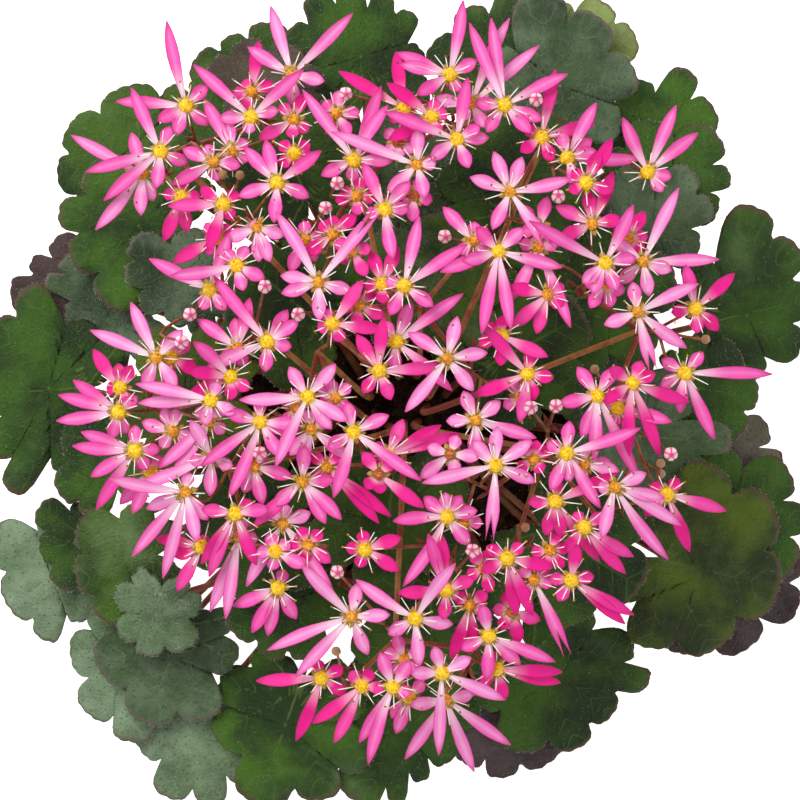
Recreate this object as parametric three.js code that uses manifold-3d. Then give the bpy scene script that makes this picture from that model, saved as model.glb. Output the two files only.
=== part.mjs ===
// A saxifrage in full flower in a plain round pot, as the photograph shows it from straight above.
// Millimetres, +Z up. The origin is the middle of the pot's underside, and +Y is the top of the photograph.
import * as THREE from 'three';
import { mergeVertices } from 'three/addons/utils/BufferGeometryUtils.js';
import Module from 'manifold-3d';

const wasm = await Module();
wasm.setup();

// Driving dimensions of the pot and its soil
const POT_HEIGHT = 95;
const POT_TOP_RADIUS = 54;
const POT_BASE_RADIUS = 39;
const POT_WALL = 2.2;
const RIM_HEIGHT = 15;
const RIM_PROUD = 2.2;
const DRAIN_HOLES = 4;
const DRAIN_RING = 24;
const DRAIN_RADIUS = 4;
const SOIL_LEVEL = 86;
const SOIL_FLOOR = 6;
const ROUND_SIDES = 28;
const SOIL_SIDES = 14;

// Driving dimensions of the plant
const BLOOM_LEVEL = 168;
const HEAD_TOP = 178;
const HEAD_FALL = 0.0034;
const LEAF_LEVEL = 107;
const LEAF_TIER = 3.4;
const LEAF_FALL = 0.0016;
const LEAF_THICK = 0.8;
const LEAF_WAVE = 0.7;
const PETIOLE_RADIUS = 1.2;
const STEM_RADIUS = 1.25;
const BRANCH_RADIUS = 1.15;
const PEDICEL_RADIUS = 0.65;
const SHORT_PETAL = 5.2;
const PETAL_RIDGE = 1.0;
const OVARY_RADIUS = 2.2;
const OVARY_HEIGHT = 1.7;
const CALYX_DEPTH = 1.3;
const BUD_RADIUS = 1.5;
const BUD_FOOT = 2.4;
const GAP = 0.35;
const FINEST = 0.08;

// How the plant branches: its crown of stems, their bends and forks, and the bunches of heads on each fork
const CROWN_RADIUS = 8;
const BEND_LEVEL = 138;
const FORK_DROP = 22;
const FORK_SINK = 1.3;
const BUNCH = 4;
const BRANCH_RISE = 6;
const SIDE_BRANCH = 7;
const PETIOLE_SIDES = 3;
const PETIOLE_STEPS = 4;

// How many petals a bloom shows at each depth of the head, and how its petals are lifted clear of others
const MOST_PETALS = [3, 4, 4, 5];
const SPREAD = 2.0;
const STEEPEST = 0.6;
const PETAL_STEP = 1.5;

// The photograph looks straight down from high above, so a place in it lies further out the lower it is
const MM_PER_PIXEL = 0.27;
const PHOTO_CENTRE = 400;
const VIEW_HEIGHT = 2000;

// Leaves, back to front: tier, reach of the blade, its heading in degrees, the place where the petiole meets
// the blade, then the tips of the lobes that show, all in the photograph's pixels
const LEAVES = [
  [0, 95, 190, [112, 292], [52, 242], [30, 262], [10, 285]],
  [1, 72, 195, [132, 314], [60, 262], [46, 277], [66, 311], [86, 366], [106, 376]],
  [1, 92, 118, [268, 112], [200, 52], [228, 36], [262, 22]],
  [1, 80, 50, [560, 68], [608, 4], [634, 32]],
  [1, 92, 0, [688, 452], [770, 434], [783, 460], [764, 490]],
  [1, 88, -75, [500, 692], [470, 766], [497, 778], [548, 764]],
  [3, 105, 170, [148, 170], [128, 85], [64, 134], [57, 168]],
  [2, 108, 180, [86, 388], [76, 320], [30, 285], [-12, 330], [-20, 395], [-10, 450], [10, 492],
    [60, 472]],
  [2, 105, 95, [364, 92], [290, 28], [312, -6], [350, -18], [384, -6], [412, 12], [420, 48]],
  [2.1, 84, 110, [492, 92], [434, 42], [470, 6], [512, -6]],
  [2, 98, 45, [632, 158], [642, 80], [690, 70], [712, 104]],
  [2, 105, 10, [712, 322], [760, 208], [798, 245], [812, 298], [802, 345], [756, 380]],
  [2, 108, -30, [696, 576], [803, 562], [800, 605], [752, 646]],
  [2, 100, -100, [204, 706], [141, 752], [166, 798], [214, 804], [244, 780]],
  [2, 112, -85, [402, 692], [446, 764], [420, 782], [398, 804], [366, 806]],
  [2, 88, 215, [76, 560], [-6, 535], [10, 610], [48, 642], [76, 622]],
  [2, 78, 130, [222, 140], [165, 90], [198, 78]],
  [3, 105, 0, [700, 520], [792, 476], [806, 520], [798, 560]],
  [3, 92, 20, [642, 190], [650, 121], [722, 140], [731, 178], [719, 205]],
  [3, 76, -10, [684, 386], [758, 398], [744, 430]],
  [3, 112, -50, [532, 652], [634, 654], [651, 676], [612, 716], [580, 748], [522, 752]],
  [3, 110, -110, [298, 690], [219, 690], [214, 735], [258, 805], [325, 800], [364, 768]],
  [3, 92, 220, [142, 648], [70, 652], [92, 718], [126, 742]],
  [3, 58, 185, [88, 540], [40, 506], [40, 550], [60, 588]],
  [4.1, 108, 180, [176, 226], [86, 174], [58, 212], [70, 255], [104, 302]],
  [4, 74, 100, [274, 112], [214, 60], [240, 42], [322, 74], [324, 102]],
  [4, 108, 45, [534, 112], [548, -8], [597, 14], [636, 72], [620, 124]],
  [4, 92, 10, [622, 234], [642, 168], [694, 173], [713, 206], [700, 244]],
  [4, 96, -115, [182, 626], [98, 668], [147, 724], [202, 720], [234, 664]],
  [4, 72, 205, [122, 446], [63, 434], [64, 500], [84, 514]],
  [4.2, 140, -5, [592, 432], [690, 396], [732, 444], [706, 470]],
  [5, 110, -25, [664, 560], [712, 465], [774, 508], [780, 588], [712, 652], [650, 648]],
  [5, 80, 190, [152, 556], [80, 522], [77, 582], [100, 618]],
  [5.2, 78, 180, [202, 284], [128, 248], [126, 268], [142, 308], [170, 322]],
  [5, 88, -115, [296, 576], [236, 636], [270, 658], [304, 660]],
  [6, 62, -100, [160, 594], [126, 640], [142, 654], [188, 648]],
  [7.2, 112, 140, [322, 326]],
  [7, 112, 28, [488, 366]],
  [7.2, 105, 195, [285, 520]],
  [8.1, 108, 75, [424, 318]],
  [8.7, 112, -95, [392, 486]],
  [6.2, 112, 112, [306, 196]],
  [5.2, 110, 92, [398, 214]],
  [6.2, 115, 58, [506, 214]],
  [5.2, 112, 12, [570, 300]],
  [7, 112, -32, [548, 530]],
  [6, 115, -88, [430, 590]],
  [6.2, 112, 185, [222, 400]],
];

// Blooms: how high each lies in the head, 0 for hidden to 3 for the top ones, its centre, and its petal tips
const BLOOMS = [
  [2, [184, 103], [163, 15], [112, 97], [205, 82], [206, 122], [174, 133], [155, 118]],
  [2, [159, 150], [128, 84], [82, 169], [101, 199], [168, 124], [186, 161], [155, 187]],
  [1, [140, 172], [92, 228], [66, 131], [128, 129], [139, 214], [151, 199]],
  [2, [291, 72], [269, 1], [352, 8], [246, 43], [324, 79], [293, 104]],
  [2, [250, 115], [192, 62], [303, 68], [218, 116], [278, 108], [247, 132]],
  [1, [250, 89], [257, 36], [272, 80], [243, 76]],
  [1, [293, 118], [258, 137], [302, 92], [279, 101]],
  [1, [231, 150], [202, 96], [226, 118], [213, 160]],
  [1, [213, 161], [171, 183], [181, 147], [205, 143], [240, 165]],
  [3, [277, 183], [244, 146], [265, 139], [321, 150], [238, 196], [309, 197], [274, 223]],
  [2, [223, 204], [167, 205], [208, 251], [232, 219], [200, 186]],
  [0, [180, 196], [162, 240], [185, 231]],
  [1, [294, 153], [279, 141], [300, 165]],
  [1, [257, 227], [259, 262], [270, 262], [284, 236], [226, 240], [251, 222]],
  [3, [237, 266], [171, 277], [247, 246], [265, 279], [244, 291]],
  [2, [210, 290], [148, 258], [229, 233], [202, 310], [226, 310]],
  [0, [216, 238], [172, 262], [206, 254]],
  [0, [305, 240], [290, 272], [316, 262]],
  [1, [333, 235], [305, 255], [320, 222], [356, 215]],
  [3, [319, 283], [276, 212], [380, 208], [281, 276], [282, 294], [352, 291], [320, 321]],
  [2, [354, 160], [302, 88], [381, 84], [388, 104], [321, 175], [393, 160], [352, 182]],
  [0, [357, 196], [335, 200], [340, 190]],
  [2, [268, 342], [214, 276], [205, 370], [288, 310], [299, 321], [292, 347], [266, 372]],
  [1, [238, 348], [197, 319], [235, 318], [250, 298]],
  [2, [231, 377], [186, 398], [195, 342], [190, 372], [250, 390], [232, 400]],
  [1, [170, 357], [198, 372], [190, 342]],
  [3, [157, 358], [130, 302], [89, 330], [183, 330], [177, 388], [144, 388]],
  [1, [119, 388], [91, 349], [117, 363], [131, 365], [105, 388]],
  [2, [118, 412], [54, 421], [71, 380], [56, 395], [136, 396], [125, 434], [110, 439]],
  [2, [135, 451], [80, 432], [71, 446], [90, 477], [95, 510], [135, 425], [160, 449], [148, 470]],
  [1, [173, 431], [141, 422], [162, 408], [176, 408], [160, 448]],
  [3, [212, 400], [138, 403], [136, 384], [236, 414], [205, 425]],
  [1, [210, 421], [172, 478], [159, 468]],
  [1, [212, 457], [136, 487], [210, 496], [233, 467], [190, 462], [191, 420]],
  [3, [186, 492], [110, 478], [131, 557], [162, 579], [146, 509], [189, 472], [208, 520], [198, 541]],
  [0, [150, 472], [118, 505], [131, 514]],
  [2, [202, 547], [155, 539], [176, 592], [173, 557], [202, 535]],
  [3, [308, 397], [240, 400], [277, 466], [290, 367], [336, 364], [348, 421], [332, 429]],
  [0, [297, 408]],
  [0, [336, 398], [350, 384], [330, 380], [345, 408]],
  [1, [312, 429], [350, 458], [300, 468], [290, 455]],
  [2, [261, 422], [201, 466], [229, 498], [227, 413], [288, 430], [300, 423], [283, 457], [261, 397]],
  [1, [254, 466], [263, 504], [244, 493], [293, 477]],
  [2, [303, 481], [254, 526], [342, 519], [326, 523], [274, 505], [335, 478], [305, 445]],
  [2, [236, 513], [201, 564], [209, 577], [257, 565], [202, 509], [270, 508], [252, 500]],
  [1, [239, 536], [225, 620], [209, 613]],
  [1, [283, 523], [246, 587], [333, 590], [311, 512]],
  [2, [276, 551], [306, 566], [290, 541]],
  [0, [278, 588], [232, 607], [251, 634], [267, 637], [296, 620]],
  [1, [308, 544], [331, 562], [322, 530]],
  [2, [354, 432], [421, 480], [334, 497], [347, 402], [389, 415], [328, 448]],
  [0, [327, 467], [391, 516], [379, 523]],
  [1, [379, 474], [424, 507], [363, 452]],
  [1, [365, 549], [401, 537], [399, 570]],
  [0, [336, 112], [338, 88], [350, 135], [326, 118], [360, 110], [322, 100]],
  [0, [398, 142], [388, 152], [410, 132], [398, 158]],
  [0, [414, 196], [412, 222], [405, 206]],
  [1, [404, 107], [338, 68], [396, 48]],
  [2, [432, 116], [387, 82], [388, 140], [448, 112]],
  [3, [457, 139], [384, 112], [468, 76], [480, 125], [489, 137], [469, 168], [431, 160]],
  [2, [450, 73], [464, -4], [397, 50], [400, 62], [477, 58], [417, 94], [459, 90]],
  [3, [505, 104], [492, 14], [470, 20], [569, 71], [475, 101], [487, 131], [532, 132], [543, 119]],
  [1, [472, 102], [511, 13], [541, 41], [432, 98], [485, 126]],
  [2, [542, 136], [557, 66], [597, 121], [521, 151], [553, 160]],
  [2, [568, 157], [598, 100], [644, 156], [562, 130], [593, 137], [597, 149], [577, 186]],
  [2, [417, 165], [331, 132], [418, 127], [387, 193], [425, 198]],
  [3, [510, 192], [494, 151], [522, 157], [571, 179], [470, 177], [492, 230], [550, 251]],
  [2, [586, 183], [613, 137], [600, 150], [613, 191]],
  [1, [592, 224], [587, 188], [614, 170], [556, 206], [560, 238], [622, 219]],
  [0, [630, 238], [646, 210], [614, 250]],
  [0, [540, 228], [548, 196], [520, 205], [562, 240], [530, 262]],
  [0, [606, 284], [590, 308], [612, 307], [584, 282], [625, 292]],
  [2, [650, 170], [680, 101], [702, 129], [624, 116], [674, 175], [665, 190]],
  [2, [385, 210], [363, 163], [393, 260], [410, 182], [409, 209]],
  [2, [404, 287], [419, 217], [467, 245], [433, 307], [390, 316]],
  [1, [396, 342], [463, 294], [452, 391], [411, 303], [383, 322], [394, 374]],
  [3, [447, 359], [457, 317], [487, 353], [473, 391], [408, 333], [405, 412]],
  [3, [498, 252], [481, 335], [510, 330], [562, 268], [476, 228], [523, 229], [440, 273], [462, 262]],
  [1, [473, 241], [443, 207]],
  [0, [538, 248], [570, 328], [512, 300]],
  [1, [547, 295], [509, 287], [511, 328], [536, 334]],
  [2, [501, 336], [547, 357], [478, 345], [500, 366]],
  [2, [527, 374], [484, 326], [473, 395], [553, 378], [531, 350], [534, 400], [519, 422]],
  [3, [605, 263], [528, 222], [634, 204], [637, 257], [617, 291], [582, 283], [592, 294]],
  [2, [644, 261], [681, 186], [722, 258], [612, 238], [673, 270], [650, 296], [619, 283]],
  [3, [638, 312], [700, 283], [688, 348], [654, 372], [633, 282], [604, 325]],
  [2, [697, 308], [738, 272], [687, 264], [673, 312], [699, 333], [721, 330]],
  [2, [686, 373], [776, 374], [717, 440], [705, 352], [663, 359], [662, 387], [681, 413]],
  [3, [632, 383], [629, 456], [661, 457], [690, 402], [609, 368], [641, 361], [655, 373], [604, 402]],
  [2, [597, 396], [639, 480], [594, 460], [577, 367], [614, 368], [558, 404], [581, 438]],
  [0, [618, 408], [672, 422]],
  [1, [359, 306], [375, 290], [385, 317]],
  [2, [333, 324], [383, 330], [363, 281], [325, 310], [318, 330], [343, 342]],
  [2, [379, 371], [444, 366], [384, 318], [357, 335], [363, 393], [391, 400]],
  [1, [383, 285], [398, 247], [371, 252]],
  [1, [352, 252], [367, 277], [338, 262]],
  [1, [475, 420], [536, 438], [463, 391], [446, 421], [473, 457], [500, 401]],
  [0, [520, 398]],
  [1, [450, 454], [457, 435], [420, 478], [427, 446], [480, 456]],
  [0, [388, 455], [459, 433], [441, 425], [403, 419]],
  [3, [495, 465], [422, 482], [489, 541], [497, 426], [473, 440], [531, 440], [535, 482]],
  [1, [533, 459], [542, 472]],
  [3, [566, 453], [640, 428], [600, 508], [569, 421], [546, 442], [569, 482], [550, 490]],
  [2, [447, 516], [393, 520], [403, 586], [424, 496], [445, 492], [461, 495], [477, 510], [470, 545]],
  [0, [463, 522]],
  [2, [507, 558], [517, 616], [533, 616], [553, 567], [486, 546], [522, 543], [481, 571]],
  [2, [555, 501], [600, 562], [617, 473], [558, 480], [528, 502], [545, 535], [563, 538]],
  [1, [550, 550], [557, 531], [563, 568]],
  [1, [584, 464], [612, 463], [619, 471]],
  [3, [614, 487], [665, 498], [682, 526], [669, 560], [601, 538], [597, 487], [646, 473]],
  [2, [668, 495], [729, 512], [692, 553], [680, 479], [651, 485], [646, 516]],
  [2, [584, 527], [634, 557], [626, 574], [604, 514], [574, 512], [565, 552]],
  [2, [571, 580], [626, 625], [635, 616], [576, 543], [549, 578], [558, 601], [594, 576]],
  [1, [534, 580], [569, 658], [523, 596], [549, 567]],
  [0, [484, 568], [490, 592], [472, 552]],
  [0, [512, 612], [500, 630], [541, 621], [520, 644], [505, 592]],
  [2, [446, 590], [428, 533], [441, 533], [398, 592], [474, 578], [443, 619], [470, 603]],
  [3, [415, 618], [356, 579], [455, 562], [453, 624], [419, 667], [388, 634]],
  [3, [489, 636], [556, 663], [521, 666], [482, 604], [461, 650], [487, 682]],
  [1, [470, 605], [487, 592], [451, 660], [472, 648]],
  [2, [497, 670], [564, 674], [562, 685], [506, 702], [481, 687]],
  [3, [442, 673], [505, 701], [439, 757], [434, 646], [471, 657], [411, 673]],
  [2, [446, 701], [405, 763], [475, 776], [512, 749], [410, 706], [474, 696]],
  [1, [404, 660], [396, 634], [384, 652]],
  [1, [409, 698], [396, 736], [391, 720], [424, 682]],
  [3, [352, 616], [267, 651], [295, 678], [302, 564], [390, 614], [368, 655], [357, 583]],
  [2, [321, 679], [255, 683], [295, 744], [345, 696], [343, 668]],
  [2, [362, 687], [312, 725], [334, 745], [385, 690], [350, 672]],
  [2, [393, 687], [368, 766], [359, 744], [380, 652], [410, 660]],
];

// Unopened buds
const BUDS = [
  [190, 314], [265, 288], [300, 315], [444, 236], [706, 340], [529, 408], [525, 528], [473, 550],
  [670, 453], [661, 464], [663, 474], [337, 570], [337, 651], [345, 92], [240, 176], [222, 175],
  [338, 183], [595, 370], [558, 198], [536, 100], [555, 405], [262, 453], [185, 342], [325, 208],
];

// Flowering stems: each is one branched spray, given by the forks that its pedicels leave from
const SPRAYS = [
  [[172, 150], [262, 120], [232, 220]],
  [[360, 178], [450, 122], [318, 250]],
  [[540, 150], [500, 215]],
  [[262, 330], [165, 420], [225, 285]],
  [[318, 352], [300, 430], [360, 440]],
  [[230, 470], [250, 540]],
  [[420, 308], [470, 250], [470, 372]],
  [[640, 330], [580, 290], [610, 410]],
  [[545, 450], [600, 520], [490, 490], [510, 560]],
  [[395, 640], [470, 650], [345, 690], [450, 560]],
];

// Number helpers
const polar = (radius, degrees) => {
  const angle = THREE.MathUtils.degToRad(degrees);
  return [radius * Math.cos(angle), radius * Math.sin(angle)];
};
const turn = (degrees) => ((degrees % 360) + 360) % 360;

// A place in the photograph as millimetres at a given height
function place([px, py], height) {
  const scale = MM_PER_PIXEL * (VIEW_HEIGHT - height) / (VIEW_HEIGHT - BLOOM_LEVEL);
  return [(px - PHOTO_CENTRE) * scale, (PHOTO_CENTRE - py) * scale];
}

// The domed surface that the lowest blooms lie on, and the drooping one that a tier of leaves lies on
const headHeight = (x, y) => HEAD_TOP - HEAD_FALL * (x * x + y * y);
const leafHeight = (tier, x, y) => LEAF_LEVEL + LEAF_TIER * tier - LEAF_FALL * (x * x + y * y);

// Turns a closed geometry into a solid that can be joined and cut
function solid(geometry) {
  const bare = geometry.clone();
  bare.deleteAttribute('normal');
  bare.deleteAttribute('uv');
  const merged = mergeVertices(bare);
  const points = merged.attributes.position;
  const corners = Array.from(merged.index.array);
  const [a, b, c] = [new THREE.Vector3(), new THREE.Vector3(), new THREE.Vector3()];
  let volume = 0;
  for (let i = 0; i < corners.length; i += 3) {
    a.fromBufferAttribute(points, corners[i]);
    b.fromBufferAttribute(points, corners[i + 1]);
    c.fromBufferAttribute(points, corners[i + 2]);
    volume += a.dot(b.cross(c));
  }
  if (volume < 0) corners.reverse();
  return new wasm.Manifold(new wasm.Mesh({
    numProp: 3,
    vertProperties: new Float32Array(points.array),
    triVerts: new Uint32Array(corners),
  }));
}

// Turns a solid back into a named mesh
function mesh(name, body, look) {
  const { vertProperties, triVerts } = body.getMesh();
  const geometry = new THREE.BufferGeometry();
  geometry.setAttribute('position', new THREE.BufferAttribute(vertProperties, 3));
  geometry.setIndex(new THREE.BufferAttribute(triVerts, 1));
  geometry.computeVertexNormals();
  const piece = new THREE.Mesh(geometry, new THREE.MeshStandardMaterial(look));
  piece.name = name;
  return piece;
}

// A closed geometry from a list of corner points and the triangles between them
function facets(points, triangles) {
  const geometry = new THREE.BufferGeometry();
  geometry.setAttribute('position', new THREE.Float32BufferAttribute(points.flat(), 3));
  geometry.setIndex(triangles.flat());
  return geometry;
}

// A stem of a few flat sides along a smooth line through the given points
const smoothLine = (points) =>
  new THREE.CatmullRomCurve3(points.map((p) => new THREE.Vector3(...p)), false, 'centripetal');
function stem(points, radius, sides, steps) {
  const corner = (_, i) => new THREE.Vector2(...polar(radius, 360 * i / sides));
  const section = new THREE.Shape(Array.from({ length: sides }, corner));
  return solid(new THREE.ExtrudeGeometry(section, { steps, extrudePath: smoothLine(points), bevelEnabled: false }));
}

// A straight three-sided branch, a little thinner at its root, which lies inside the stem that it leaves
function branch(from, to, radius, past = 0) {
  const start = new THREE.Vector3(...from);
  const line = new THREE.Vector3(...to).sub(start);
  line.setLength(line.length() + past);
  const long = line.length();
  const upright = new THREE.CylinderGeometry(radius, 0.65 * radius, long, 3).translate(0, long / 2, 0);
  const turned = new THREE.Quaternion().setFromUnitVectors(new THREE.Vector3(0, 1, 0), line.normalize());
  return solid(upright.applyQuaternion(turned).translate(...from));
}

// True where the boxes round two solids meet
function boxesMeet(one, two) {
  const a = one.boundingBox();
  const b = two.boundingBox();
  return [0, 1, 2].every((k) => a.min[k] < b.max[k] && b.min[k] < a.max[k]);
}

// The first of several stem routes that clears its surroundings, or the one that cuts least into them
function clearRoute(routes, radius, sides, steps, firm, soft = []) {
  let best = routes[0];
  let least = Infinity;
  for (const route of routes) {
    const wide = stem(route, radius + GAP, sides, steps);
    const shared = (others) => others.filter((other) => boxesMeet(wide, other))
      .reduce((sum, other) => sum + wide.intersect(other).volume(), 0);
    const cost = 10 * shared(firm) + shared(soft);
    if (cost < least) {
      least = cost;
      best = route;
    }
    if (least < 1e-6) break;
  }
  return best;
}

// The plain square hole in the soil round the first straight stretch of a stem, a little deeper than its end
function rootHole(points, radius, steps) {
  const [from, to] = smoothLine(points).getSpacedPoints(steps);
  const back = to.clone().sub(from).setLength(3 * GAP);
  return stem([from.sub(back).toArray(), to.toArray()], (radius + GAP) * Math.SQRT2, 4, 1);
}

// The pot: a tapered shell with a thick rim band and drain holes in its floor
const wallAt = (z) => POT_BASE_RADIUS + (POT_TOP_RADIUS - POT_BASE_RADIUS) * z / POT_HEIGHT;
function potSolid() {
  const rimFoot = POT_HEIGHT - RIM_HEIGHT;
  const profile = [
    [0, 0], [POT_BASE_RADIUS, 0], [wallAt(rimFoot), rimFoot],
    [wallAt(rimFoot) + RIM_PROUD, rimFoot + 1.5], [POT_TOP_RADIUS + RIM_PROUD, POT_HEIGHT - 1.5],
    [POT_TOP_RADIUS + RIM_PROUD - 1.2, POT_HEIGHT], [POT_TOP_RADIUS - POT_WALL + 1, POT_HEIGHT],
    [POT_TOP_RADIUS - POT_WALL, POT_HEIGHT - 1.5], [wallAt(0) - POT_WALL, POT_WALL + 0.8],
    [0, POT_WALL + 0.8],
  ].map(([x, y]) => new THREE.Vector2(x, y));
  const shell = new THREE.LatheGeometry(profile, ROUND_SIDES).rotateX(Math.PI / 2);
  let body = solid(shell);
  for (let i = 0; i < DRAIN_HOLES; i++) {
    const [x, y] = polar(DRAIN_RING, 360 * i / DRAIN_HOLES);
    const hole = new THREE.CylinderGeometry(DRAIN_RADIUS, DRAIN_RADIUS, 20, 8).rotateX(Math.PI / 2);
    body = body.subtract(solid(hole.translate(x, y, 0)));
  }
  return body;
}

// The soil: it fills the pot to just below the rim, its top crumbled by a formula
function soilSolid(footprints) {
  const innerAt = (z) => wallAt(z) - POT_WALL - 0.5;
  const rings = [innerAt(SOIL_LEVEL), 42, 31];
  const profile = [[0, SOIL_FLOOR], [innerAt(SOIL_FLOOR) - 0.4, SOIL_FLOOR]]
    .concat(rings.map((r) => [r, SOIL_LEVEL]), [[0, SOIL_LEVEL]])
    .map(([x, y]) => new THREE.Vector2(x, y));
  const geometry = new THREE.LatheGeometry(profile, SOIL_SIDES).rotateX(Math.PI / 2);
  const points = geometry.attributes.position;
  for (let i = 0; i < points.count; i++) {
    const [x, y, z] = [points.getX(i), points.getY(i), points.getZ(i)];
    const inside = Math.hypot(x, y) < rings[0] - 1 && z > SOIL_FLOOR + 1;
    if (inside) points.setZ(i, z + 0.7 * Math.sin(x * 0.9 + 1.3 * y) + 0.5 * Math.cos(1.7 * x - 0.6 * y));
  }
  return footprints.reduce((body, foot) => body.subtract(foot), solid(geometry)).simplify(FINEST);
}

// The full ring of lobes round a leaf: those that show, and even ones between them where others hide it
function leafLobes(reach, heading, tips) {
  const roundness = (turned) => {
    const angle = THREE.MathUtils.degToRad(turned);
    return reach * (0.27 * Math.cos(angle) + Math.sqrt(0.533 - 0.073 * Math.sin(angle) ** 2));
  };
  const shown = tips.map(([x, y]) => ({
    turned: turn(THREE.MathUtils.radToDeg(Math.atan2(y, x)) - heading + 180) - 180,
    radius: Math.hypot(x, y),
  })).sort((one, two) => one.turned - two.turned);
  const lobes = [];
  const fill = (from, to) => {
    const extra = Math.round((to - from) / 46) - 1;
    for (let i = 1; i <= extra; i++) {
      const turned = from + (to - from) * i / (extra + 1);
      lobes.push({ turned, radius: roundness(turned), hidden: true });
    }
  };
  let last = -175;
  for (const lobe of shown) {
    fill(last, lobe.turned);
    lobes.push(lobe);
    last = lobe.turned;
  }
  fill(last, 175);
  return lobes;
}

// The scalloped outline of a leaf: shoulders on each lobe, a notch between lobes, a slit behind the petiole
function leafOutline(reach, heading, tips) {
  const lobes = leafLobes(reach, heading, tips);
  const outline = [];
  const put = (turned, radius) => outline.push([...polar(radius, heading + turned), turned]);
  put(-172, 0.3 * reach);
  lobes.forEach((lobe, i) => {
    const before = i > 0 ? (lobe.turned + lobes[i - 1].turned) / 2 : lobe.turned - 18;
    const after = i < lobes.length - 1 ? (lobe.turned + lobes[i + 1].turned) / 2 : lobe.turned + 18;
    if (i > 0) put(before, 0.84 * Math.min(lobe.radius, lobes[i - 1].radius));
    const shoulder = (side) => lobe.turned + 0.55 * (side - lobe.turned);
    const shoulders = lobe.hidden ? [lobe.turned] : [before, after].map(shoulder);
    for (const turned of shoulders) put(turned, 0.98 * lobe.radius);
  });
  put(172, 0.3 * reach);
  put(180, 1.6);
  return outline;
}

// A leaf blade: a thin waved sheet on its tier's surface, fanned alike on both faces from the petiole's end
function bladeSolid(leaf) {
  const { tier, reach, heading, x, y, tips } = leaf;
  const outline = leafOutline(reach, heading, tips);
  const middle = [...polar(0.36 * reach, heading), 0];
  const sheet = [middle, ...outline].map(([dx, dy, turned]) => {
    const ripple = Math.sin(THREE.MathUtils.degToRad(3 * turned) + tier);
    const wave = LEAF_WAVE * ripple * Math.hypot(dx, dy) / reach;
    return [x + dx, y + dy, leafHeight(tier, x + dx, y + dy) + wave];
  });
  const count = outline.length;
  const under = count + 1;
  const points = sheet.concat(sheet.map(([px, py, pz]) => [px, py, pz - LEAF_THICK]));
  const triangles = [];
  for (let i = 0; i < count; i++) {
    const here = 1 + i;
    const next = 1 + (i + 1) % count;
    triangles.push([0, here, next], [under, under + next, under + here]);
    triangles.push([here, under + here, under + next], [here, under + next, next]);
  }
  return solid(facets(points, triangles));
}

// Every leaf with its place and size in millimetres
const leaves = LEAVES.map(([tier, reach, heading, at, ...lobes]) => {
  const height = leafHeight(tier, ...place(at, LEAF_LEVEL));
  const [x, y] = place(at, height);
  const tips = lobes.map((lobe) => place(lobe, height - 6)).map(([px, py]) => [px - x, py - y]);
  return { tier, heading, x, y, tips, reach: reach * MM_PER_PIXEL };
});

// Petioles root in rings round the crown, the lowest leaves outermost, in the order in which they spread
const ROOT_RINGS = [
  { radius: 25.5, holds: (leaf) => leaf.tier < 2.05 },
  { radius: 20.5, holds: (leaf) => leaf.tier >= 2.05 && leaf.tier < 4.05 },
  { radius: 16, holds: (leaf) => leaf.tier >= 4.05 && leaf.tier < 6.05 },
  { radius: 12.5, holds: (leaf) => leaf.tier >= 6.05 },
];
for (const ring of ROOT_RINGS) {
  const group = leaves.filter(ring.holds);
  const bearing = (leaf) => turn(THREE.MathUtils.radToDeg(Math.atan2(leaf.y, leaf.x)));
  group.sort((one, two) => bearing(one) - bearing(two));
  const share = 360 / group.length;
  const drift = (leaf, i) => turn(bearing(leaf) - i * share + 180) - 180;
  const lead = group.reduce((sum, leaf, i) => sum + drift(leaf, i), 0) / group.length;
  group.forEach((leaf, i) => {
    const even = lead + i * share;
    const pull = turn(bearing(leaf) - even + 180) - 180;
    leaf.foot = { radius: ring.radius, degrees: even + 0.35 * pull };
  });
}

// The routes that a petiole can take: up from its root, over the pot's rim, out under the other blades and up
// to its own. A leaf that sits inside the rim has no need of the second bend.
const RIM_CLEAR = POT_HEIGHT + PETIOLE_RADIUS + 1;
function petioleRoutes(leaf) {
  const { x, y, tier, heading, foot } = leaf;
  const [jx, jy] = polar(1.6, heading);
  const far = Math.hypot(x, y);
  const sunk = far < 30 ? LEAF_THICK / 2 : LEAF_THICK + PETIOLE_RADIUS / 2;
  const end = [x + jx, y + jy, leafHeight(tier, x, y) - sunk];
  const bearing = THREE.MathUtils.radToDeg(Math.atan2(y, x));
  const [fx, fy] = polar(foot.radius, foot.degrees);
  const start = [[fx, fy, SOIL_LEVEL - 9], [fx, fy, SOIL_LEVEL + 2]];
  const routes = [];
  for (const lift of [0, 2.2, 4.4, 6.6]) {
    for (const swing of [0, 6, -6, 12, -12, 18, -18, 26, -26]) {
      for (const stretch of [0.72, 0.85, 0.6]) {
        const bend = far > 62 ? Math.max(POT_TOP_RADIUS + 1, stretch * far) : stretch * far;
        const low = Math.min(RIM_CLEAR + lift, end[2] - 1.5);
        routes.push([...start, [...polar(bend, bearing + swing), Math.max(low, RIM_CLEAR)], end]);
      }
    }
  }
  return routes;
}

for (const leaf of leaves) leaf.blade = bladeSolid(leaf);
const pot = potSolid();
const laidPetioles = [];
for (const leaf of leaves) {
  const others = leaves.filter((other) => other !== leaf).map((other) => other.blade).concat(laidPetioles, pot);
  const route = clearRoute(petioleRoutes(leaf), PETIOLE_RADIUS, PETIOLE_SIDES, PETIOLE_STEPS, others);
  leaf.petiole = stem(route, PETIOLE_RADIUS, PETIOLE_SIDES, PETIOLE_STEPS);
  leaf.footprint = rootHole(route, PETIOLE_RADIUS, PETIOLE_STEPS);
  laidPetioles.push(leaf.petiole);
  leaf.body = leaf.blade.add(leaf.petiole).simplify(FINEST);
}

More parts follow.
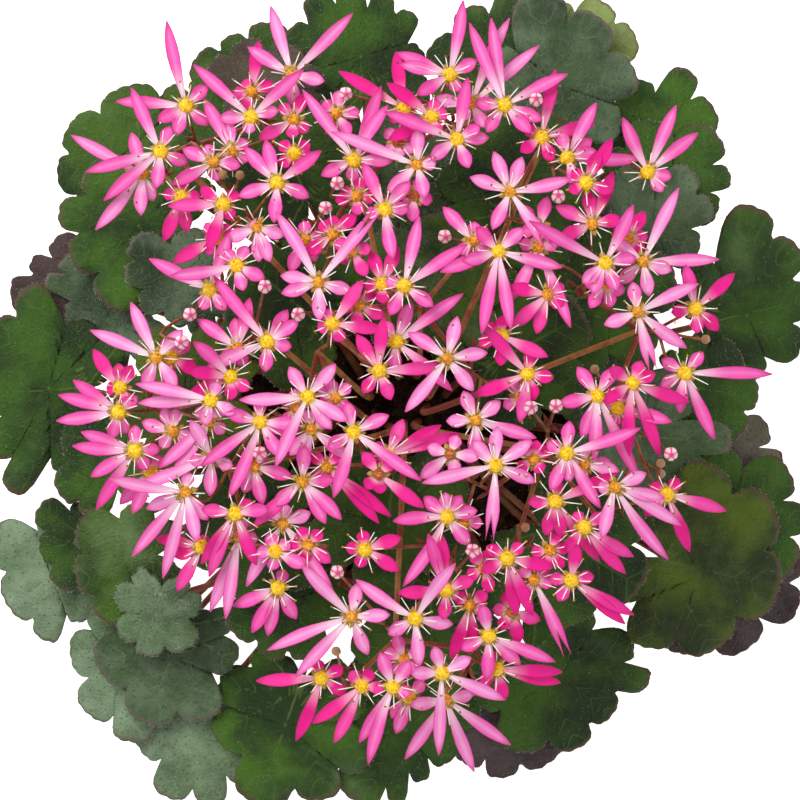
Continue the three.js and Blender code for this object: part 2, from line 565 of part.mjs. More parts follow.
// Petals of a bloom in turn, with short ones added in the widest gaps until it has five
function petalsOf(centre, tips) {
  const [cx, cy] = centre;
  const petals = tips.map(([x, y]) => ({
    angle: turn(THREE.MathUtils.radToDeg(Math.atan2(y - cy, x - cx))),
    length: Math.hypot(x - cx, y - cy),
  }));
  if (petals.length === 0) petals.push({ angle: turn(37 * cx), length: SHORT_PETAL });
  while (petals.length < 5) {
    petals.sort((one, two) => one.angle - two.angle);
    const gaps = petals.map((petal, i) => turn(petals[(i + 1) % petals.length].angle - petal.angle) || 360);
    const widest = gaps.indexOf(Math.max(...gaps));
    petals.push({ angle: turn(petals[widest].angle + gaps[widest] / 2), length: SHORT_PETAL });
  }
  petals.sort((one, two) => one.angle - two.angle);
  petals.forEach((petal, i) => {
    const next = turn(petals[(i + 1) % petals.length].angle - petal.angle);
    const before = turn(petal.angle - petals[(i + petals.length - 1) % petals.length].angle);
    const room = THREE.MathUtils.degToRad(Math.min(next, before, 120) / 2);
    petal.widest = 0.58 * petal.length;
    petal.half = Math.min(2 - 0.018 * (petal.length - 8), petal.widest * Math.tan(room) * 0.9);
  });
  return petals;
}

// Lays the blooms on the head from the lowest to the highest, each petal lifted clear of what it crosses
function layBlooms() {
  const laid = [];
  const clearOver = (x, y, radius) => laid.reduce((height, spot) => {
    const apart = Math.hypot(spot.x - x, spot.y - y);
    return apart < spot.radius + radius ? Math.max(height, spot.top + GAP) : height;
  }, -Infinity);
  const blooms = BLOOMS.map(([depth, at, ...tips]) => {
    const centre = place(at, BLOOM_LEVEL);
    return { depth, centre, petals: petalsOf(centre, tips.map((tip) => place(tip, BLOOM_LEVEL))) };
  });
  const order = blooms.slice().sort((one, two) => one.depth - two.depth);
  for (const bloom of order) {
    const [x, y] = bloom.centre;
    let base = Math.max(headHeight(x, y) + 1.2 * bloom.depth, clearOver(x, y, OVARY_RADIUS) + CALYX_DEPTH);
    for (const petal of bloom.petals) {
      petal.spots = [];
      for (let along = 3; along < petal.length; along += PETAL_STEP) {
        const [dx, dy] = polar(along, petal.angle);
        const needed = clearOver(x + dx, y + dy, SPREAD * 0.9);
        petal.spots.push({ x: x + dx, y: y + dy, along, needed });
        base = Math.max(base, needed - along * STEEPEST);
      }
    }
    bloom.height = base;
    laid.push({ x, y, radius: OVARY_RADIUS, top: base + OVARY_HEIGHT });
    for (const petal of bloom.petals) {
      const [dx, dy] = polar(petal.length, petal.angle);
      const natural = Math.max(-0.45, (headHeight(x + dx, y + dy) - headHeight(x, y)) / petal.length - 0.04);
      const steeper = (slope, spot) => Math.max(slope, (spot.needed - base) / spot.along);
      petal.slope = petal.spots.reduce(steeper, natural);
    }
    for (const petal of bloom.petals) {
      for (const spot of petal.spots) {
        const top = base + petal.slope * spot.along + PETAL_RIDGE;
        laid.push({ x: spot.x, y: spot.y, radius: SPREAD, top });
      }
    }
  }
  return { blooms, clearOver };
}

// Runs a three-sided pedicel down from a ring of corner points that already stands round its top
function addPedicel(points, triangles, ring, path) {
  const top = path[path.length - 1];
  const [cx, cy] = top;
  const bearing = (i) => turn(THREE.MathUtils.radToDeg(Math.atan2(points[i][1] - cy, points[i][0] - cx)));
  const upper = ring.slice().sort((one, two) => bearing(one) - bearing(two));
  const levels = path.slice().reverse().map((level) => [0, 1, 2].map((i) => {
    const radius = level === path[0] ? 0.7 * PEDICEL_RADIUS : PEDICEL_RADIUS;
    const [dx, dy] = polar(radius, bearing(upper[0]) + 120 * i);
    return points.push([level[0] + dx, level[1] + dy, level[2]]) - 1;
  }));
  const from = bearing(upper[0]);
  const ahead = (i, step, count) => (step >= count ? 360 : turn(bearing(i) - from));
  let [up, down] = [0, 0];
  while (up < upper.length || down < 3) {
    const after = ahead(upper[(up + 1) % upper.length], up + 1, upper.length);
    const nextUp = up < upper.length ? after : Infinity;
    const nextDown = down < 3 ? 120 * (down + 1) : Infinity;
    const [here, below] = [upper[up % upper.length], levels[0][down % 3]];
    if (nextUp <= nextDown) triangles.push([here, below, upper[++up % upper.length]]);
    else triangles.push([here, below, levels[0][++down % 3]]);
  }
  for (let k = 0; k < levels.length - 1; k++) {
    for (let i = 0; i < 3; i++) {
      const [a, b] = [levels[k][i], levels[k][(i + 1) % 3]];
      const [c, d] = [levels[k + 1][i], levels[k + 1][(i + 1) % 3]];
      triangles.push([a, c, d], [a, d, b]);
    }
  }
  triangles.push(levels[levels.length - 1].slice().reverse());
}

// One bloom: ridged petals round a raised ovary, its calyx drawn down into the pedicel, as one closed star
function bloomSolid({ depth, centre: [x, y], height, petals: all }, path) {
  const most = MOST_PETALS[depth];
  const shortest = all.map((petal) => petal.length).sort((one, two) => two - one)[most - 1];
  const petals = all.filter((petal) => petal.length >= shortest).slice(0, most);
  const count = petals.length;
  const points = [[x, y, height + OVARY_HEIGHT]];
  const triangles = [];
  const first = (i) => 1 + 5 * ((i + count) % count);
  petals.forEach((petal, i) => {
    const next = petals[(i + 1) % count];
    const between = petal.angle + turn(next.angle - petal.angle) / 2;
    const at = (along, aside, rise) => {
      const [dx, dy] = polar(along, petal.angle);
      const [sx, sy] = polar(aside, petal.angle + 90);
      return [x + dx + sx, y + dy + sy, height + petal.slope * along + rise];
    };
    const [vx, vy] = polar(0.8 * OVARY_RADIUS, between);
    points.push([x + vx, y + vy, height + 0.8 * OVARY_RADIUS * Math.min(0, petal.slope, next.slope)]);
    points.push(at(OVARY_RADIUS, 0, PETAL_RIDGE));
    points.push(at(petal.widest, -petal.half, 0), at(petal.widest, petal.half, 0));
    points.push(at(petal.length, 0, PETAL_RIDGE / 2));
    const [valley, root, right, left, tip] = [0, 1, 2, 3, 4].map((k) => first(i) + k);
    const valleyBefore = first(i - 1);
    triangles.push([0, valleyBefore, root], [0, root, valley]);
    triangles.push([root, valleyBefore, right], [root, right, tip], [root, tip, left], [root, left, valley]);
    triangles.push([right, left, tip]);
    triangles.push([valleyBefore, valley, left], [valleyBefore, left, right]);
  });
  addPedicel(points, triangles, petals.map((_, i) => first(i)), path);
  return solid(facets(points, triangles));
}

// A closed bud, drawn down into its pedicel
function budSolid({ centre: [x, y], height }, path) {
  const corner = (i) => polar(BUD_RADIUS, 90 * i + 20);
  const waist = [0, 1, 2, 3].map(corner).map(([dx, dy]) => [x + dx, y + dy, height - 0.5]);
  const points = [[x, y, height + 2], ...waist];
  const triangles = waist.map((_, i) => [0, 1 + i, 1 + (i + 1) % 4]);
  addPedicel(points, triangles, [1, 2, 3, 4], path);
  return solid(facets(points, triangles));
}

const { blooms, clearOver } = layBlooms();
const buds = BUDS.map((at) => {
  const centre = place(at, BLOOM_LEVEL - 4);
  const height = Math.max(headHeight(...centre) - 3, clearOver(...centre, 1.6) + BUD_FOOT);
  return { centre, height };
});

// The forks of the sprays, below the head
const sprays = SPRAYS.map((forks, number) => ({
  number,
  forks: forks.map((at) => {
    const [x, y] = place(at, BLOOM_LEVEL - FORK_DROP);
    return [x, y, headHeight(x, y) - FORK_DROP];
  }),
  heads: [],
}));
function nearestFork([x, y]) {
  const all = sprays.flatMap((spray) => spray.forks.map((fork) => ({ spray, fork })));
  const far = ({ fork }) => Math.hypot(fork[0] - x, fork[1] - y);
  return all.reduce((best, one) => (far(one) < far(best) ? one : best));
}
for (const bloom of blooms) {
  const { spray, fork } = nearestFork(bloom.centre);
  spray.heads.push({ ...bloom, fork, foot: CALYX_DEPTH, form: bloomSolid });
}
for (const bud of buds) {
  const { spray, fork } = nearestFork(bud.centre);
  spray.heads.push({ ...bud, fork, foot: BUD_FOOT, form: budSolid });
}
for (const { forks, heads } of sprays) {
  for (const fork of forks) {
    const heights = heads.filter((head) => head.fork === fork).map((head) => head.height);
    fork[2] = Math.min(fork[2], ...heights.map((height) => height - 14));
  }
}

// Main stems stand close together in the middle of the crown and bend out over the leaves
const headBearing = ({ forks: [[x, y]] }) => turn(THREE.MathUtils.radToDeg(Math.atan2(y, x)));
const ringed = sprays.slice().sort((one, two) => headBearing(one) - headBearing(two));
const share = 360 / ringed.length;
const drift = (spray, i) => turn(headBearing(spray) - i * share + 180) - 180;
const lead = ringed.reduce((sum, spray, i) => sum + drift(spray, i), 0) / ringed.length;
ringed.forEach((spray, i) => {
  const [fx, fy] = polar(CROWN_RADIUS, lead + i * share);
  const [bx, by] = polar(CROWN_RADIUS + 3, lead + i * share);
  const [main, ...others] = spray.forks;
  const tip = [main[0], main[1], main[2] + FORK_SINK];
  const route = [[fx, fy, SOIL_LEVEL - 9], [fx, fy, SOIL_LEVEL + 6], [bx, by, BEND_LEVEL], tip];
  spray.footprint = rootHole(route, STEM_RADIUS, 6);
  spray.stems = [stem(route, STEM_RADIUS, 5, 6)];
  for (const fork of others) {
    spray.stems.push(branch(main, fork, BRANCH_RADIUS, FORK_SINK));
  }
});

// Heads that share a fork stand on it in small bunches, each on a side branch that its pedicels leave in turn
for (const spray of sprays) {
  for (const fork of spray.forks) {
    const group = spray.heads.filter((head) => head.fork === fork);
    const bearing = ({ centre: [x, y] }) => Math.atan2(y - fork[1], x - fork[0]);
    group.sort((one, two) => bearing(one) - bearing(two));
    const bunches = Math.ceil(group.length / BUNCH);
    for (let i = 0; i < bunches; i++) {
      const cut = (k) => Math.round(group.length * k / bunches);
      const bunch = group.slice(cut(i), cut(i + 1));
      const mean = (k) => bunch.reduce((sum, head) => sum + head.centre[k], 0) / bunch.length;
      const reach = Math.hypot(mean(0) - fork[0], mean(1) - fork[1]);
      const span = Math.max(0.55, Math.min(1, SIDE_BRANCH / reach));
      const end = [0, 1].map((k) => fork[k] + span * (mean(k) - fork[k])).concat(fork[2] + BRANCH_RISE);
      spray.stems.push(branch(fork, end, 0.9 * BRANCH_RADIUS));
      const far = ({ centre: [x, y] }) => Math.hypot(x - fork[0], y - fork[1]);
      bunch.sort((one, two) => far(two) - far(one)).forEach((head, k) => {
        const back = 0.95 - 0.22 * k;
        head.root = [0, 1, 2].map((axis) => fork[axis] + back * (end[axis] - fork[axis]));
      });
    }
  }
}

// The routes that a pedicel can take from its side branch up to its bloom: straight, or bent aside on the way
function pedicelRoutes({ centre: [x, y], height, foot, root }) {
  const top = [x, y, height - foot];
  const routes = [[root, top]];
  for (const drop of [5, 8, 11]) {
    for (const aside of [0, 2.5, 5, 7.5]) {
      for (let degrees = 0; degrees < (aside ? 360 : 1); degrees += 45) {
        const [dx, dy] = polar(aside, degrees);
        const mid = [x + dx + 0.2 * (root[0] - x), y + dy + 0.2 * (root[1] - y), top[2] - drop];
        if (mid[2] > root[2] + 1) routes.push([root, mid, top]);
      }
    }
  }
  return routes;
}

// Each pedicel is led clear of the blooms of every spray, then grown into one body with its own
for (const spray of sprays) {
  for (const head of spray.heads) {
    const top = head.height - head.foot;
    head.body = head.form(head, [[...head.centre, top - 1], [...head.centre, top]]);
  }
}
for (const spray of sprays) {
  const strangers = sprays.filter((other) => other !== spray)
    .flatMap((other) => other.heads.map((head) => head.body).concat(other.stems));
  for (const head of spray.heads) {
    const kin = spray.heads.filter((other) => other !== head).map((other) => other.body);
    const route = clearRoute(pedicelRoutes(head), PEDICEL_RADIUS, 3, 2, strangers, kin);
    head.body = head.form(head, route);
  }
}
for (const spray of sprays) {
  const parts = spray.stems.concat(spray.heads.map((head) => head.body));
  spray.body = wasm.Manifold.union(parts).simplify(FINEST);
}

// The whole plant in its pot
const plant = new THREE.Group();
plant.add(mesh('pot', pot, { color: 0xa4593a, roughness: 0.85, metalness: 0 }));
const footprints = leaves.concat(sprays).map((piece) => piece.footprint);
plant.add(mesh('soil', soilSolid(footprints), { color: 0x2c1d14, roughness: 1, metalness: 0 }));
leaves.forEach((leaf, i) => {
  const name = `leaf_${String(i + 1).padStart(2, '0')}`;
  plant.add(mesh(name, leaf.body, { color: 0x3f6a2c, roughness: 0.6, metalness: 0 }));
});
sprays.forEach((spray, i) => {
  const name = `spray_${String(i + 1).padStart(2, '0')}`;
  plant.add(mesh(name, spray.body, { color: 0xf04fae, roughness: 0.5, metalness: 0 }));
});

export default plant;
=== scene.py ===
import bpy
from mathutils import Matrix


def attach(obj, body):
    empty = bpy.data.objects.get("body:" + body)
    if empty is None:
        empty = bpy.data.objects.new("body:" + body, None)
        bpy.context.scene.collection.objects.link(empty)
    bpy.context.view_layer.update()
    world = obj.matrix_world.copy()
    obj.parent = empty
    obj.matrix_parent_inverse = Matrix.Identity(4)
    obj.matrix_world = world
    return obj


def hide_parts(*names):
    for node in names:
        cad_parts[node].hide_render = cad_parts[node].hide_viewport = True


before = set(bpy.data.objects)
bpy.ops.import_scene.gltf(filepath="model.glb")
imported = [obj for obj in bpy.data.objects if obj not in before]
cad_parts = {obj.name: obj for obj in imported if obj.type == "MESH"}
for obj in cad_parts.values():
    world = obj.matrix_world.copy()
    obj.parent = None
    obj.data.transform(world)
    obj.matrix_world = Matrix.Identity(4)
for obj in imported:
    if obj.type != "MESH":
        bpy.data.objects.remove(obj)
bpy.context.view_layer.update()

import math

import bmesh
import bpy
import numpy as np
from mathutils import Vector

# A saxifrage in full flower in a plain round pot. Shapes are worked out in millimetres in the frame's own axes
# and become metres where a piece is made. Places taken from the photograph are in its pixels, 800 by 800.
MM = 0.001
MM_PER_PIXEL = 0.27
PHOTO_CENTRE = 400
PHOTO_SIZE = 800
VIEW_HEIGHT = 2000
BLOOM_LEVEL = 168

# The forms of the solids that these pieces stand for
HEAD_TOP = 178
HEAD_FALL = 0.0034
LEAF_LEVEL = 107
LEAF_TIER = 3.4
LEAF_FALL = 0.0016
LEAF_WAVE = 0.7
LEAF_THICK = 0.8
OVARY_RADIUS = 2.2
OVARY_HEIGHT = 1.7
CALYX_DEPTH = 1.3
BUD_FOOT = 2.4
PETAL_RIDGE = 1.0
PEDICEL_RADIUS = 0.65
PETIOLE_RADIUS = 1.2
STEM_RADIUS = 1.25
BRANCH_RADIUS = 1.15
SHORT_PETAL = 5.2
SOIL_LEVEL = 86
CROWN_RADIUS = 8
BEND_LEVEL = 138
FORK_DROP = 22
FORK_SINK = 1.3
BUNCH = 4
BRANCH_RISE = 6
SIDE_BRANCH = 7
POT_HEIGHT = 95
POT_TOP_RADIUS = 54
POT_BASE_RADIUS = 39
POT_WALL = 2.2
RIM_HEIGHT = 15
RIM_PROUD = 2.2
DRAIN_HOLES = 4
DRAIN_RING = 24
DRAIN_RADIUS = 4
SOIL_FLOOR = 6

# Leaves: how the rim runs in and out, and how finely a blade is drawn
LOBE_SPACING = 46
LOBE_OVERHANG = 18
LOBE_FULLNESS = 3.6
LOBE_ROUNDING = 0.6
NOTCH_SHARE = 0.82
END_NOTCH_SHARE = 0.62
SLIT_FOOT = 1.6
TOOTH_WIDTH = 3.6
TOOTH_DEPTH = 0.42
RIM_POINTS = 200
LEAF_RINGS = 12
BLADE_THICK = 0.55
RIM_HAIRS = 280
FACE_HAIRS = 200
HAIR_RADIUS = 0.055
HAIR_LENGTHS = (0.35, 0.95)
HAIR_SPREAD = 0.25

# Flowers: rows and columns of a petal as shares of its length and half width, and the small parts
PETAL_ROWS = np.array([0, 0.07, 0.16, 0.28, 0.42, 0.56, 0.68, 0.8, 0.9, 0.965, 1.0])
PETAL_COLUMNS = np.array([-1, -0.8, -0.42, 0, 0.42, 0.8, 1])
SHORT_PETAL_LIMIT = 8
SHORT_HALF_WIDTH = 1.9
LONG_HALF_WIDTH = 2.0
PETAL_THICK = 0.32
FULL_PETALS = 5
STAMENS = 10
STAMEN_REACHES = ((4.4, 6.0), (5.2, 7.0))
SEPAL_LENGTH = 1.8
SEPAL_THICK = 0.3
SAME_PLACE = 0.12

# Pot and soil: how finely they are drawn
ROUND_SIDES = 96
SOIL_RINGS = 60
SOIL_SPOKES = 160
CRUMBS = 420
# Each wave of the soil's surface: its height, its turns in x and y, and its start
SOIL_WAVES = (
    (0.35, 0.9, 1.3, 0), (0.3, 1.7, -0.6, 1.1), (0.22, -2.3, 1.9, 2.0), (0.2, 3.1, 2.6, 0.4), (0.15, 4.1, -3.7, 3),
)

# Studio, in metres and watts
FLOOR_HALF = 30.0
LIGHT_TARGET = (0, 0, 0.12)
KEY_LIGHT = (22, 1.1, (-0.7, 0.75, 1.5))
FILL_LIGHT = (7, 1.4, (0.9, -0.6, 1.4))
WORLD_STRENGTH = 0.46
SENSOR_WIDTH = 36

# Leaves, back to front: finish, tier, reach of the blade, its heading in degrees, where the petiole meets the
# blade, then the tips of the lobes that show
LEAVES = [
    ["P", 0, 95, 190, [112, 292], [52, 242], [30, 262], [10, 285]],
    ["K", 1, 72, 195, [132, 314], [60, 262], [46, 277], [66, 311], [86, 366], [106, 376]],
    ["G", 1, 92, 118, [268, 112], [200, 52], [228, 36], [262, 22]],
    ["Y", 1, 80, 50, [560, 68], [608, 4], [634, 32]],
    ["Z", 1, 92, 0, [688, 452], [770, 434], [783, 460], [764, 490]],
    ["P", 1, 88, -75, [500, 692], [470, 766], [497, 778], [548, 764]],
    ["G", 3, 105, 170, [148, 170], [128, 85], [64, 134], [57, 168]],
    ["D", 2, 108, 180, [86, 388], [76, 320], [30, 285], [-12, 330], [-20, 395], [-10, 450], [10, 492], [60, 472]],
    ["D", 2, 105, 95, [364, 92], [290, 28], [312, -6], [350, -18], [384, -6], [412, 12], [420, 48]],
    ["G", 2.1, 84, 110, [492, 92], [434, 42], [470, 6], [512, -6]],
    ["B", 2, 98, 45, [632, 158], [642, 80], [690, 70], [712, 104]],
    ["D", 2, 105, 10, [712, 322], [760, 208], [798, 245], [812, 298], [802, 345], [756, 380]],
    ["P", 2, 108, -30, [696, 576], [803, 562], [800, 605], [752, 646]],
    ["S", 2, 100, -100, [204, 706], [141, 752], [166, 798], [214, 804], [244, 780]],
    ["D", 2, 112, -85, [402, 692], [446, 764], [420, 782], [398, 804], [366, 806]],
    ["S", 2, 88, 215, [76, 560], [-6, 535], [10, 610], [48, 642], [76, 622]],
    ["G", 2, 78, 130, [222, 140], [165, 90], [198, 78]],
    ["D", 3, 105, 0, [700, 520], [792, 476], [806, 520], [798, 560]],
    ["D", 3, 92, 20, [642, 190], [650, 121], [722, 140], [731, 178], [719, 205]],
    ["D", 3, 76, -10, [684, 386], [758, 398], [744, 430]],
    ["D", 3, 112, -50, [532, 652], [634, 654], [651, 676], [612, 716], [580, 748], [522, 752]],
    ["B", 3, 110, -110, [298, 690], [219, 690], [214, 735], [258, 805], [325, 800], [364, 768]],
    ["S", 3, 92, 220, [142, 648], [70, 652], [92, 718], [126, 742]],
    ["D", 3, 58, 185, [88, 540], [40, 506], [40, 550], [60, 588]],
    ["B", 4.1, 108, 180, [176, 226], [86, 174], [58, 212], [70, 255], [104, 302]],
    ["Z", 4, 74, 100, [274, 112], [214, 60], [240, 42], [322, 74], [324, 102]],
    ["K", 4, 108, 45, [534, 112], [548, -8], [597, 14], [636, 72], [620, 124]],
    ["K", 4, 92, 10, [622, 234], [642, 168], [694, 173], [713, 206], [700, 244]],
    ["K", 4, 96, -115, [182, 626], [98, 668], [147, 724], [202, 720], [234, 664]],
    ["B", 4, 72, 205, [122, 446], [63, 434], [64, 500], [84, 514]],
    ["K", 4.2, 140, -5, [592, 432], [690, 396], [732, 444], [706, 470]],
    ["O", 5, 110, -25, [664, 560], [712, 465], [774, 508], [780, 588], [712, 652], [650, 648]],
    ["G", 5, 80, 190, [152, 556], [80, 522], [77, 582], [100, 618]],
    ["K", 5.2, 78, 180, [202, 284], [128, 248], [126, 268], [142, 308], [170, 322]],
    ["D", 5, 88, -115, [296, 576], [236, 636], [270, 658], [304, 660]],
    ["S", 6, 62, -100, [160, 594], [126, 640], [142, 654], [188, 648]],
    ["D", 7.2, 112, 140, [322, 326]],
    ["D", 7, 112, 28, [488, 366]],
    ["D", 7.2, 105, 195, [285, 520]],
    ["G", 8.1, 108, 75, [424, 318]],
    ["D", 8.7, 112, -95, [392, 486]],
    ["D", 6.2, 112, 112, [306, 196]],
    ["K", 5.2, 110, 92, [398, 214]],
    ["D", 6.2, 115, 58, [506, 214]],
    ["D", 5.2, 112, 12, [570, 300]],
    ["D", 7, 112, -32, [548, 530]],
    ["D", 6, 115, -88, [430, 590]],
    ["O", 6.2, 112, 185, [222, 400]],
]

